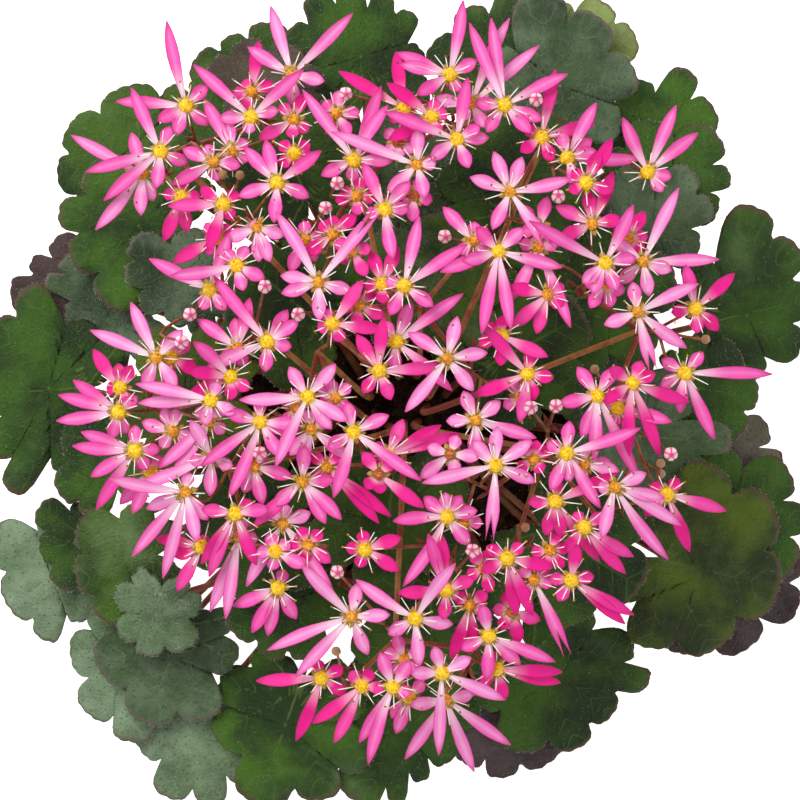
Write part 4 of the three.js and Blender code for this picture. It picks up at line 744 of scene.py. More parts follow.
def stamen_material():
    """Tints: 0 at the root to 1 at the tip, and 1 on the anther."""
    material, board = finish_material("stamen", 0.5, Specular_IOR_Level=0.3)
    along, anther, shade = board.tint()
    spot = board.spot()
    thread = board.blend(board.step(along, 0.0, 0.5), (244, 222, 170), (255, 246, 240))
    pollen = board.blend(shade, (228, 176, 60), (150, 84, 50))
    pollen = board.blend(board.step(board.noise(spot, 2500, 2), 0.4, 0.7), pollen, (120, 60, 36))
    board.colour(board.blend(anther, thread, pollen))
    return material


def sepal_material():
    material, board = finish_material("sepal", 0.5)
    along, edge, _ = board.tint()
    green = board.blend(board.noise(board.spot(), 700, 2), (150, 150, 30), (206, 196, 48))
    red = board.blend(board.step(along, 0.3, 1.0, 0.1, 0.9), green, (196, 88, 96))
    board.colour(board.blend(board.step(edge, 0.6, 1.0, 0.0, 0.5), red, (176, 70, 84)))
    return material


def bud_material():
    """Tints: 0 at the foot to 1 at the tip, round the bud, and its shade."""
    material, board = finish_material("bud", 0.45, Specular_IOR_Level=0.4)
    along, around, shade = board.tint()
    stripes = board.step(board.sum("SINE", board.times(around, 31.4)), 0.2, 0.9)
    pink = board.blend(stripes, (250, 208, 214), (220, 96, 140))
    pink = board.blend(board.step(along, 0.75, 1.0), pink, (206, 60, 120))
    brown = board.blend(board.noise(board.spot(), 800, 3), (132, 84, 52), (176, 132, 88))
    colour = board.blend(shade, pink, brown)
    colour = board.blend(board.step(along, 0.2, 0.45, 0.9, 0.0), colour, (146, 112, 60))
    board.colour(colour)
    board.relief(stripes, 0.2, 0.4)
    return material


def stalk_material(name, ochre, red):
    """A hairy stem. The second tint is 1 where it is redder."""
    material, board = finish_material(name, 0.55, Specular_IOR_Level=0.35)
    _, redness, _ = board.tint()
    spot = board.spot()
    mottle = board.step(board.plus(board.noise(spot, 240, 3), board.times(redness, 0.35)), 0.4, 0.8)
    colour = board.blend(mottle, ochre, red)
    fuzz = board.noise(spot, 3200, 2)
    colour = board.blend(board.step(fuzz, 0.6, 0.75, 0.0, 0.35), colour, (206, 186, 160))
    board.colour(colour)
    board.relief(board.plus(fuzz, board.noise(spot, 500, 2)), 0.3, 0.6)
    return material


def hair_material():
    material, board = finish_material("leaf_hair", 0.5)
    shade = board.noise(board.spot(), 120, 2)
    board.colour(board.blend(shade, (150, 140, 118), (226, 228, 210)))
    return material


def soil_material():
    material, board = finish_material("potting_soil", 0.95, Specular_IOR_Level=0.2)
    spot = board.spot()
    crumbs = board.node("ShaderNodeTexVoronoi", {"Vector": spot, "Scale": 420.0})
    shade = board.node("ShaderNodeSeparateColor", {"Color": crumbs.outputs["Color"]}).outputs[0]
    colour = board.blend(shade, (34, 24, 18), (78, 56, 40))
    colour = board.blend(board.step(board.noise(spot, 900, 3), 0.62, 0.72), colour, (120, 96, 70))
    board.colour(colour)
    board.relief(board.plus(crumbs.outputs["Distance"], board.noise(spot, 1300, 3)), 0.9)
    return material


def pot_material():
    material, board = finish_material("pot_plastic", 0.5, Specular_IOR_Level=0.4)
    spot = board.spot()
    height = board.node("ShaderNodeSeparateXYZ", {"Vector": spot}).outputs["Z"]
    clouds = board.noise(spot, 26, 4)
    colour = board.blend(board.step(clouds, 0.3, 0.7), (158, 86, 60), (172, 97, 68))
    dust = board.times(board.step(height, 0.0, 0.03, 1.0, 0.0), board.step(board.noise(spot, 70, 4), 0.4, 0.7))
    colour = board.blend(board.times(dust, 0.45), colour, (186, 150, 124))
    board.colour(colour)
    board.feed(board.shader.inputs["Roughness"], board.step(clouds, 0.3, 0.7, 0.46, 0.6))
    board.relief(board.noise(spot, 2400, 2), 0.12, 0.6)
    return material


# Leaves
def leaf_lobes(reach, heading, tips):
    """Every lobe round a leaf as its turn from the heading and its radius, with even ones where others hide it."""
    def evenly(turned):
        angle = math.radians(turned)
        return reach * (0.27 * math.cos(angle) + math.sqrt(0.533 - 0.073 * math.sin(angle) ** 2))
    shown = sorted(((bearing(x, y) - heading + 180) % 360 - 180, math.hypot(x, y)) for x, y in tips)
    lobes = []
    last = -175
    for turned, radius in shown + [(175, None)]:
        extra = int(math.floor((turned - last) / LOBE_SPACING + 0.5)) - 1
        for i in range(1, extra + 1):
            between = last + (turned - last) * i / (extra + 1)
            lobes.append((between, evenly(between)))
        if radius is not None:
            lobes.append((turned, radius))
            last = turned
    return lobes


def leaf_rim(lobes):
    """The turn, radius and fold of each point round the rim: fold is 0 on a lobe's middle and 1 in a notch."""
    turns = np.linspace(-180, 180, RIM_POINTS, endpoint=False)
    radii = np.zeros(RIM_POINTS)
    folds = np.ones(RIM_POINTS)
    between = [(a[0] + b[0]) / 2 for a, b in zip(lobes, lobes[1:])]
    edges = [lobes[0][0] - LOBE_OVERHANG] + between + [lobes[-1][0] + LOBE_OVERHANG]
    reaches = [radius for _, radius in lobes]
    notches = [NOTCH_SHARE * min(a, b) for a, b in zip(reaches, reaches[1:])]
    notches = [END_NOTCH_SHARE * reaches[0]] + notches + [END_NOTCH_SHARE * reaches[-1]]
    for i, turned in enumerate(turns):
        if turned < edges[0] or turned > edges[-1]:
            limit = abs(edges[0] if turned < 0 else edges[-1])
            near = notches[0] if turned < 0 else notches[-1]
            radii[i] = SLIT_FOOT + (near - SLIT_FOOT) * (1 - ease((abs(turned) - limit) / (180 - limit)))
            continue
        k = next(j for j in range(len(lobes)) if turned <= edges[j + 1])
        middle, radius = lobes[k]
        side = edges[k] if turned < middle else edges[k + 1]
        notch = notches[k] if turned < middle else notches[k + 1]
        fold = min(1.0, abs(turned - middle) / max(abs(side - middle), 1e-6))
        width = math.radians(edges[k + 1] - edges[k]) * radius
        teeth = max(2, round(width / TOOTH_WIDTH))
        crenation = abs(math.sin(math.pi * teeth * (turned - edges[k]) / (edges[k + 1] - edges[k])))
        bulge = (1 - fold ** LOBE_FULLNESS) ** LOBE_ROUNDING
        radii[i] = notch + (radius - notch) * bulge + TOOTH_DEPTH * (crenation - 0.6) * (1 - fold ** 4)
        folds[i] = fold
    return turns, radii, folds


def leaf_sheet(leaf):
    """The upper face of a leaf as rings round its middle, with the tints of its points."""
    lobes = leaf_lobes(leaf["reach"], leaf["heading"], leaf["tips"])
    turns, radii, folds = leaf_rim(lobes)
    rim = np.column_stack([radii * np.cos(np.radians(turns + leaf["heading"])),
                           radii * np.sin(np.radians(turns + leaf["heading"]))])
    middle = polar(0.36 * leaf["reach"], leaf["heading"])
    share = (np.linspace(0, 1, LEAF_RINGS + 1)[1:] ** 0.85)[:, None, None]
    flat = middle + share * (rim - middle)
    away = np.hypot(flat[..., 0], flat[..., 1])
    around = np.arctan2(flat[..., 1], flat[..., 0]) - math.radians(leaf["heading"])
    part = away / leaf["reach"]
    x, y = leaf["x"] + flat[..., 0], leaf["y"] + flat[..., 1]
    turned = np.degrees(np.arctan2(np.sin(around), np.cos(around)))
    fold = np.interp(turned, turns, folds)
    height = leaf_height(leaf["tier"], x, y) + LEAF_WAVE * np.sin(3 * around + leaf["tier"]) * part
    crease = np.exp(-((0.45 * fold * away) ** 2)) * ease(part, 0.1, 0.4) * (1 - 0.5 * part)
    height += 0.8 * part ** 1.5 * (0.5 - fold ** 2) - 0.25 * crease
    height += 0.22 * np.sin(0.55 * x + 0.2 * y + leaf["phase"]) * np.sin(0.5 * y - 0.15 * x) * part
    height -= 0.35 * share[..., 0] ** 6
    tints = np.stack([fold, np.clip(part * 1.02, 0, 0.96), np.zeros_like(x)], axis=-1)
    tints[-1, :, 1] = 1.0
    centre = np.array([leaf["x"] + middle[0], leaf["y"] + middle[1], height[0].mean()])
    return np.stack([x, y, height], axis=-1), centre, tints


def leaf_blade(leaf, form, hairs):
    grid, centre, tints = leaf_sheet(leaf)
    rows, columns, _ = grid.shape
    size = rows * columns
    upper = np.vstack([grid.reshape(-1, 3), centre])
    lower = upper - [0, 0, BLADE_THICK]
    shade = np.vstack([tints.reshape(-1, 3), [0.5, 0, 0]])
    below = shade + [0, 0, 1]
    faces = grid_faces(rows, columns, closed=True)
    faces += [(size, c, (c + 1) % columns) for c in range(columns)]
    under = [tuple(i + size + 1 for i in face)[::-1] for face in faces]
    rim = [(rows - 1) * columns + c for c in range(columns)]
    edge = [(a, b, b + size + 1, a + size + 1) for a, b in zip(rim, rim[1:] + rim[:1])]
    form.add(np.vstack([upper, lower]), faces + under + [face[::-1] for face in edge], np.vstack([shade, below]))
    leaf_hairs(hairs, grid, centre)


def leaf_hairs(form, grid, centre):
    """Short stiff hairs round the rim and over the upper face."""
    rows, columns, _ = grid.shape
    roots, ways = [], []
    for spot in rng.uniform(0, columns, RIM_HAIRS):
        c = int(spot)
        root = grid[-1, c] + (spot - c) * (grid[-1, (c + 1) % columns] - grid[-1, c])
        out = root - centre
        roots.append(root - [0, 0, 0.25])
        ways.append(out / np.linalg.norm(out) * [1, 1, 0] + rng.normal(0, HAIR_SPREAD, 3) + [0, 0, 0.1])
    for _ in range(FACE_HAIRS):
        r = int(math.sqrt(rng.uniform(0.02, 1)) * (rows - 1))
        c = int(rng.integers(columns))
        root = grid[r, c] + rng.uniform(0, 1) * (grid[min(r + 1, rows - 1), c] - grid[r, c])
        out = (root - centre) * [1, 1, 0]
        roots.append(root - [0, 0, 0.1])
        ways.append(out / max(np.linalg.norm(out), 1e-6) * 0.8 + rng.normal(0, HAIR_SPREAD, 3) + [0, 0, 0.55])
    for root, way in zip(roots, ways):
        way = np.asarray(way) / np.linalg.norm(way)
        side = np.cross(way, [0.2, 0.1, 0.97])
        side /= np.linalg.norm(side)
        other = np.cross(way, side)
        base = [root + HAIR_RADIUS * (math.cos(a) * side + math.sin(a) * other) for a in (0, 2.09, 4.19)]
        points = base + [root + way * rng.uniform(*HAIR_LENGTHS)]
        form.add(points, [(0, 1, 3), (1, 2, 3), (2, 0, 3), (2, 1, 0)], (0, 0, 0))


def petiole_line(leaf):
    """The petiole's own line, read off the three-sided rings of its solid, from the soil to the blade."""
    side = PETIOLE_RADIUS * math.sqrt(3)
    points = corners_of(leaf["node"])
    apart = np.linalg.norm(points[:, None] - points[None], axis=2)
    near = abs(apart - side) < 0.05
    rings = []
    for i, j in zip(*np.nonzero(np.triu(near))):
        for k in np.nonzero(near[i] & near[j])[0]:
            if k > j:
                rings.append(points[[i, j, k]].mean(axis=0))
    join = np.array([leaf["x"], leaf["y"], leaf_height(leaf["tier"], leaf["x"], leaf["y"]) - LEAF_THICK])
    rings = [ring for ring in rings if np.linalg.norm(ring - join) > 4]
    rings.sort(key=lambda ring: -np.linalg.norm(ring - join))
    end = join + np.append(polar(1.6, leaf["heading"]), -0.4)
    return rings, end


def make_leaves():
    materials = {kind: leaf_material(kind) for kind in LEAF_FINISHES}
    stalk = stalk_material("petiole", (150, 110, 70), (132, 60, 46))
    hair = hair_material()
    for i, (kind, tier, reach, heading, at, *lobes) in enumerate(LEAVES):
        node = f"leaf_{i + 1:02d}"
        height = leaf_height(tier, *place(at, LEAF_LEVEL))
        x, y = place(at, height)
        leaf = {"node": node, "tier": tier, "heading": heading, "x": x, "y": y, "reach": reach * MM_PER_PIXEL,
                "tips": [place(lobe, height - 6) - [x, y] for lobe in lobes], "phase": rng.uniform(0, 6)}
        blade, hairs, petiole = Form(), Form(), Form()
        leaf_blade(leaf, blade, hairs)
        rings, end = petiole_line(leaf)
        line = smooth_line(rings + [end], 26)
        share = np.linspace(0, 1, len(line))
        radii = PETIOLE_RADIUS * (1.0 - 0.28 * share)
        tube(petiole, line, radii, np.column_stack([share, 0.7 * share, 0 * share]), 8)
        slot = LEAF_FINISHES[kind][1]
        blade.piece(node + "_blade", materials[kind], slot, [node])
        hairs.piece(node + "_hairs", hair, slot, [node])
        petiole.piece(node + "_petiole", stalk, slot, [node])


# Flowers
def petals_of(centre, tips):
    """Petals of a bloom in turn, with short ones added in the widest gaps where it has too few."""
    petals = []
    for (x, y), cleft in tips:
        length = math.hypot(x - centre[0], y - centre[1])
        petals.append({"angle": bearing(x - centre[0], y - centre[1]), "length": length, "cleft": cleft})
    if not petals:
        petals.append({"angle": 37 * centre[0] % 360, "length": SHORT_PETAL, "cleft": False})
    while len(petals) < FULL_PETALS:
        petals.sort(key=lambda petal: petal["angle"])
        gaps = [(petals[(i + 1) % len(petals)]["angle"] - p["angle"]) % 360 or 360 for i, p in enumerate(petals)]
        widest = gaps.index(max(gaps))
        middle = (petals[widest]["angle"] + gaps[widest] / 2) % 360
        petals.append({"angle": middle, "length": SHORT_PETAL, "cleft": False})
    petals.sort(key=lambda petal: petal["angle"])
    return petals


class HeadReader:
    """Reads how high each flower's parts lie in the solids of the sprays."""

    def __init__(self):
        self.points = np.vstack([corners_of(f"spray_{i + 1:02d}") for i in range(len(SPRAYS))])

    def top(self, x, y):
        apart = np.hypot(self.points[:, 0] - x, self.points[:, 1] - y)
        near = self.points[apart < SAME_PLACE]
        return near[:, 2].max() if len(near) else None

    def ring(self, centre):
        """True where the three corners of a flower stalk's bend stand round this point."""
        level = self.points[abs(self.points[:, 2] - centre[2]) < 0.02]
        apart = np.hypot(level[:, 0] - centre[0], level[:, 1] - centre[1])
        return np.count_nonzero(abs(apart - PEDICEL_RADIUS) < 0.03) >= 2


def petal_width(share, cleft):
    """A petal's half width along its length as a share of its widest: a narrow claw, then an ellipse to the tip."""
    claw = 0.2 + 0.8 * ease(share, -0.12, 0.62)
    tip = np.clip(1 - np.clip((share - 0.55) / 0.45, 0, 1) ** 2.1, 0, 1) ** 0.8
    return claw * np.maximum(tip, 0.62 if cleft else 0.1)


def add_petal(form, bloom, petal):
    share = PETAL_ROWS[:, None]
    across = PETAL_COLUMNS[None, :]
    start = 0.5 * OVARY_RADIUS
    length = petal["length"]
    along = start + share * (length - start)
    if petal["cleft"]:
        along = along - 0.3 * length * (1 - abs(across)) * ease(share, 0.5, 1.0)
    if length < SHORT_PETAL_LIMIT:
        half = SHORT_HALF_WIDTH
    else:
        half = LONG_HALF_WIDTH - 0.012 * (length - SHORT_PETAL_LIMIT)
    width = half * petal_width(share, petal["cleft"])
    aside = across * width + rng.normal(0, 0.012) * length * np.sin(np.pi * share)
    roll = math.tan(rng.normal(0, 0.16))
    height = bloom["height"] + petal["slope"] * along + 0.35 * PETAL_RIDGE
    height = height + rng.uniform(0.01, 0.035) * length * np.sin(np.pi * share) + roll * aside
    height = height + 0.32 * width * across ** 2 - 0.012 * length * ease(share, 0.8, 1.0)
    flat = polar(1, petal["angle"])
    x = bloom["x"] + along * flat[0] - aside * flat[1]
    y = bloom["y"] + along * flat[1] + aside * flat[0]
    tone = np.clip(petal["tone"], 0, 1)
    tints = np.stack(np.broadcast_arrays(share, abs(across), tone), axis=-1)
    thickness = PETAL_THICK * (1 - 0.4 * abs(across))
    thin_sheet(form, np.stack([x, y, height], axis=-1), thickness, tints.reshape(-1, 3))


def add_ovary(form, bloom):
    """A bumpy dome of two joined halves with a short horn on each."""
    age = {"y": 0.0, "o": 0.5, "r": 1.0}[bloom["age"]]
    turns = np.linspace(0, 360, 16, endpoint=False)
    rises = np.radians([-25, 0, 22, 42, 62, 80])
    spin = rng.uniform(0, 360)
    radius = 0.92 * OVARY_RADIUS * (0.82 if age else 1)
    points = []
    for rise in rises:
        lump = 1 + 0.07 * np.cos(np.radians(5 * turns + spin)) * math.cos(rise) + rng.normal(0, 0.02, len(turns))
        ring = polar(1, turns) * radius * math.cos(rise) * lump
        top = 0.25 + OVARY_HEIGHT * (0.95 + 0.12 * abs(np.cos(np.radians(turns - spin)))) * math.sin(rise)
        points += [[bloom["x"] + px, bloom["y"] + py, bloom["height"] + pz] for px, py, pz in zip(*ring, top)]
    points.append([bloom["x"], bloom["y"], bloom["height"] + OVARY_HEIGHT + 0.1])
    points.append([bloom["x"], bloom["y"], bloom["height"] - 0.9])
    rows, columns = len(rises), len(turns)
    last = rows * columns
    faces = grid_faces(rows, columns, closed=True)
    faces += [((rows - 1) * columns + c, (rows - 1) * columns + (c + 1) % columns, last) for c in range(columns)]
    faces += [((c + 1) % columns, c, last + 1) for c in range(columns)]
    tints = [[age, max(0, math.sin(rise)), 0] for rise in rises for _ in turns] + [[age, 1, 0], [age, 0, 0]]
    form.add(points, faces, tints)
    for side in (spin, spin + 180):
        foot = np.append(polar(0.55 * radius, side), bloom["height"] + OVARY_HEIGHT * 0.8)
        lean = np.append(polar(0.9 * radius, side), bloom["height"] + OVARY_HEIGHT + 0.75)
        line = np.array([foot, 0.5 * (foot + lean) + [0, 0, 0.15], lean]) + [bloom["x"], bloom["y"], 0]
        tube(form, line, [0.45, 0.3, 0.22], (age, 0.9, 0), 6)


def add_stamens(form, bloom):
    if bloom["age"] == "r":
        return
    spin = rng.uniform(0, 36)
    for i in range(STAMENS):
        angle = spin + 36 * i + rng.normal(0, 5)
        reach = rng.uniform(*STAMEN_REACHES[i % 2])
        lift = rng.uniform(1.2, 3.0)
        root = np.append(polar(0.85 * OVARY_RADIUS, angle), 0.3)
        tip = np.append(polar(reach, angle + rng.normal(0, 4)), lift)
        middle = 0.5 * (root + tip) + [0, 0, 0.35]
        line = np.array([root, middle, tip]) + [bloom["x"], bloom["y"], bloom["height"]]
        tube(form, line, [0.17, 0.16, 0.12], [(0, 0, 0), (0.5, 0, 0), (1, 0, 0)], 5)
        if rng.uniform() < (0.75 if bloom["age"] == "y" else 0.35):
            way = np.append(polar(0.36, angle + 90 * rng.integers(2)), 0)
            blob = np.array([line[-1] + share * way for share in (-1, -0.4, 0.4, 1)])
            tube(form, blob, [0.12, 0.3, 0.3, 0.12], (1, 1, rng.uniform()), 6)


def add_sepals(form, bloom):
    """Small pointed sepals between the petals."""
    petals = bloom["petals"]
    for petal, after in zip(petals, petals[1:] + petals[:1]):
        angle = petal["angle"] + ((after["angle"] - petal["angle"]) % 360) / 2
        share = np.array([0, 0.35, 0.7, 1.0])[:, None]
        across = np.array([-1, 0, 1])[None, :]
        along = 0.7 * OVARY_RADIUS + share * SEPAL_LENGTH
        aside = across * np.array([0.9, 0.95, 0.6, 0.1])[:, None]
        flat = polar(1, angle)
        x = bloom["x"] + along * flat[0] - aside * flat[1]
        y = bloom["y"] + along * flat[1] + aside * flat[0]
        z = bloom["height"] - 0.15 - 0.1 * along + 0.1 * across ** 2
        tints = np.stack(np.broadcast_arrays(share, abs(across), 0.0), axis=-1)
        thin_sheet(form, np.stack([x, y, z], axis=-1), SEPAL_THICK, tints.reshape(-1, 3))


def add_bud(form, bud):
    """An egg of folded petals in its calyx. The brown ones are smaller."""
    turns = np.linspace(0, 360, 14, endpoint=False)
    shares = np.array([0, 0.12, 0.3, 0.5, 0.7, 0.87, 1.0])
    tall, wide = (3.0, 1.3) if bud["brown"] else (4.4, 1.9)
    foot = bud["height"] - BUD_FOOT
    lean = polar(0.6, rng.uniform(0, 360))
    points, tints = [], []
    for share in shares:
        radius = wide * max(math.sin(math.pi * (0.08 + 0.87 * share ** 0.8)), 0.12)
        ring = polar(1, turns) * radius * (1 + 0.05 * np.cos(np.radians(5 * turns + 200 * share)))
        for px, py, turned in zip(*ring, turns):
            points.append([bud["x"] + px + lean[0] * share, bud["y"] + py + lean[1] * share, foot + tall * share])
            tints.append([share, turned / 360, float(bud["brown"])])
    rows, columns = len(shares), len(turns)
    faces = grid_faces(rows, columns, closed=True)
    faces += [tuple(range(columns))[::-1], tuple(range((rows - 1) * columns, rows * columns))]
    form.add(points, faces, tints)


def read_blooms(reader):
    blooms = []
    for look, depth, at, *tips in BLOOMS:
        centre = place(at, BLOOM_LEVEL)
        marked = [(place(tip, BLOOM_LEVEL), tip in CLEFT_TIPS) for tip in tips]
        apex = reader.top(*centre)
        height = apex - OVARY_HEIGHT if apex is not None else head_height(*centre) + 1.2 * depth
        bloom = {"x": centre[0], "y": centre[1], "height": height, "age": look[1],
                 "petals": petals_of(centre, marked), "foot": CALYX_DEPTH}
        slopes = []
        for petal in bloom["petals"]:
            tip = reader.top(*(centre + polar(petal["length"], petal["angle"])))
            petal["slope"] = None if tip is None else (tip - PETAL_RIDGE / 2 - height) / petal["length"]
            if petal["slope"] is not None and abs(petal["slope"]) < 1:
                slopes.append(petal["slope"])
            else:
                petal["slope"] = None
        usual = float(np.mean(slopes)) if slopes else 0.0
        for petal in bloom["petals"]:
            petal["slope"] = usual if petal["slope"] is None else petal["slope"]
            petal["tone"] = TONES[look[0]] + rng.normal(0, 0.1)
        blooms.append(bloom)
    return blooms


def read_buds(reader):
    buds = []
    for at in BUDS:
        centre = place(at, BLOOM_LEVEL - 4)
        apex = reader.top(*centre)
        height = apex - 2 if apex is not None else head_height(*centre) - 3
        buds.append({"x": centre[0], "y": centre[1], "height": height, "foot": BUD_FOOT, "brown": at in BROWN_BUDS})
    return buds


def share_out(heads):
    """The sprays with their forks, each with the heads that stand on it."""
    sprays = []
    for forks in SPRAYS:
        spray = {"forks": [], "name": f"spray_{len(sprays) + 1:02d}"}
        for at in forks:
            x, y = place(at, BLOOM_LEVEL - FORK_DROP)
            spray["forks"].append({"at": np.array([x, y, head_height(x, y) - FORK_DROP]), "heads": []})
        sprays.append(spray)
    every = [fork for spray in sprays for fork in spray["forks"]]
    for head in heads:
        nearest = min(every, key=lambda fork: math.hypot(fork["at"][0] - head["x"], fork["at"][1] - head["y"]))
        nearest["heads"].append(head)
    for fork in every:
        lowest = min([head["height"] for head in fork["heads"]], default=1e9)
        fork["at"][2] = min(fork["at"][2], lowest - 14)
    return sprays


def bend_choices(head, top):
    """The bends that a flower stalk may take on its way up."""
    root = head["root"]
    for drop in (5, 8, 11):
        for aside in (0, 2.5, 5, 7.5):
            for degrees in range(0, 360 if aside else 1, 45):
                dx, dy = polar(aside, degrees)
                yield np.array([head["x"] + dx + 0.2 * (root[0] - head["x"]),
                                head["y"] + dy + 0.2 * (root[1] - head["y"]), top[2] - drop])


def add_flower_stalk(form, head, reader):
    top = np.array([head["x"], head["y"], head["height"] - head["foot"]])
    bend = next((mid for mid in bend_choices(head, top) if reader.ring(mid)), None)
    if bend is None:
        bend = 0.5 * (head["root"] + top) + [0, 0, -0.6]
    line = smooth_line([head["root"], bend, top], 10)
    line = np.vstack([line, top + [0, 0, 0.7], top + [0, 0, 1.15]])
    bell = [0.85, 1.5] if "petals" in head else [0.8, 1.0]
    radii = np.concatenate([np.linspace(0.5, 0.38, 9), [0.5], bell])
    share = np.linspace(0, 1, len(line))
    tube(form, line, radii, np.column_stack([share, 0.3 + 0.5 * share, 0 * share]), 6)


def add_main_stems(sprays, forms):
    def angle(spray):
        return bearing(*spray["forks"][0]["at"][:2])
    ringed = sorted(sprays, key=angle)
    part = 360 / len(ringed)
    lead = sum((angle(spray) - i * part + 180) % 360 - 180 for i, spray in enumerate(ringed)) / len(ringed)
    for i, spray in enumerate(ringed):
        form = forms[spray["name"]]
        foot = polar(CROWN_RADIUS, lead + i * part)
        bend = polar(CROWN_RADIUS + 3, lead + i * part)
        main = spray["forks"][0]["at"]
        route = [[*foot, SOIL_LEVEL - 9], [*foot, SOIL_LEVEL + 6], [*bend, BEND_LEVEL], main + [0, 0, FORK_SINK]]
        line = smooth_line(route, 28)
        share = np.linspace(0, 1, len(line))
        tube(form, line, 0.85 * STEM_RADIUS * (1 - 0.3 * share), np.column_stack([share, 1 - share, 0 * share]), 10)
        for fork in spray["forks"][1:]:
            add_branch(form, main, fork["at"], BRANCH_RADIUS, FORK_SINK)


def add_branch(form, start, end, radius, past=0.0):
    way = end - start
    end = end + way / np.linalg.norm(way) * past
    sag = 0.5 * (start + end) - [0, 0, 0.03 * np.linalg.norm(way)]
    line = smooth_line([start, sag, end], 9)
    radii = 0.8 * radius * np.array([0.95, 0.85, 0.78, 0.74, 0.72, 0.72, 0.74, 0.8, 0.6])
    tube(form, line, radii, np.column_stack([np.linspace(0, 1, 9), np.full(9, 0.6), np.zeros(9)]), 8)
    add_bracts(form, end)


def add_bracts(form, at):
    """Two small narrow bracts where a branch divides."""
    for angle in rng.uniform(0, 360) + np.array([0, 150]):
        out = np.append(polar(1, angle), 0.5)
        line = at + np.outer([0.2, 1.2, 2.4, 3.4], out)
        tube(form, line, [0.5, 0.62, 0.4, 0.08], (1, 0.9, 0), 5)


def root_bunches(spray, form):
    """Side branches at each fork, with the roots of their heads set along them."""
    for fork in spray["forks"]:
        x, y, z = fork["at"]
        group = sorted(fork["heads"], key=lambda head: math.atan2(head["y"] - y, head["x"] - x))
        bunches = math.ceil(len(group) / BUNCH)
        for i in range(bunches):
            first = math.floor(len(group) * i / bunches + 0.5)
            bunch = group[first:math.floor(len(group) * (i + 1) / bunches + 0.5)]
            mean = np.array([np.mean([head["x"] for head in bunch]), np.mean([head["y"] for head in bunch])])
            reach = np.hypot(*(mean - [x, y]))
            span = max(0.55, min(1, SIDE_BRANCH / reach))
            end = np.append([x, y] + span * (mean - [x, y]), z + BRANCH_RISE)
            add_branch(form, fork["at"], end, 0.75 * BRANCH_RADIUS)
            bunch.sort(key=lambda head: -math.hypot(head["x"] - x, head["y"] - y))
            for k, head in enumerate(bunch):
                head["root"] = fork["at"] + (0.95 - 0.22 * k) * (end - fork["at"])


def make_sprays():
    reader = HeadReader()
    blooms, buds = read_blooms(reader), read_buds(reader)
    sprays = share_out(blooms + buds)
    finishes = {
        "petals": petal_material(), "ovaries": ovary_material(), "stamens": stamen_material(),
        "sepals": sepal_material(), "buds": bud_material(),
        "stalks": stalk_material("flower_stalk", (162, 112, 52), (128, 46, 30)),
    }
    stalks = {spray["name"]: Form() for spray in sprays}
    add_main_stems(sprays, stalks)
    for spray in sprays:
        forms = {"stalks": stalks[spray["name"]]}
        forms.update({part: Form() for part in finishes if part != "stalks"})
        root_bunches(spray, forms["stalks"])
        for head in [head for fork in spray["forks"] for head in fork["heads"]]:
            add_flower_stalk(forms["stalks"], head, reader)
            if "petals" not in head:
                add_bud(forms["buds"], head)
                continue
            for petal in head["petals"]:
                add_petal(forms["petals"], head, petal)
            add_ovary(forms["ovaries"], head)
            add_stamens(forms["stamens"], head)
            add_sepals(forms["sepals"], head)
        for part, form in forms.items():
            if form.count:
                form.piece(f"{spray['name']}_{part}", finishes[part], "flower", [spray["name"]])


# Pot and soil
def lathe(form, profile, sides):
    """A closed turned form from a profile of radius and height that starts and ends on the axis."""
    inner = profile[1:-1]
    turns = np.linspace(0, 360, sides, endpoint=False)
    points = [[*polar(radius, turned), height] for radius, height in inner for turned in turns]
    points += [[0, 0, profile[0][1]], [0, 0, profile[-1][1]]]
    last = len(inner) * sides
    faces = grid_faces(len(inner), sides, closed=True)
    faces += [(last, (c + 1) % sides, c) for c in range(sides)]
    top = (len(inner) - 1) * sides
    faces += [(last + 1, top + c, top + (c + 1) % sides) for c in range(sides)]
    form.add(points, faces, (0, 0, 0))


def wall_at(height):
    return POT_BASE_RADIUS + (POT_TOP_RADIUS - POT_BASE_RADIUS) * height / POT_HEIGHT


def arc(centre, radius, start, end):
    """Points of a rounded corner in the profile."""
    return [tuple(np.array(centre) + polar(radius, angle)) for angle in np.linspace(start, end, 5)]


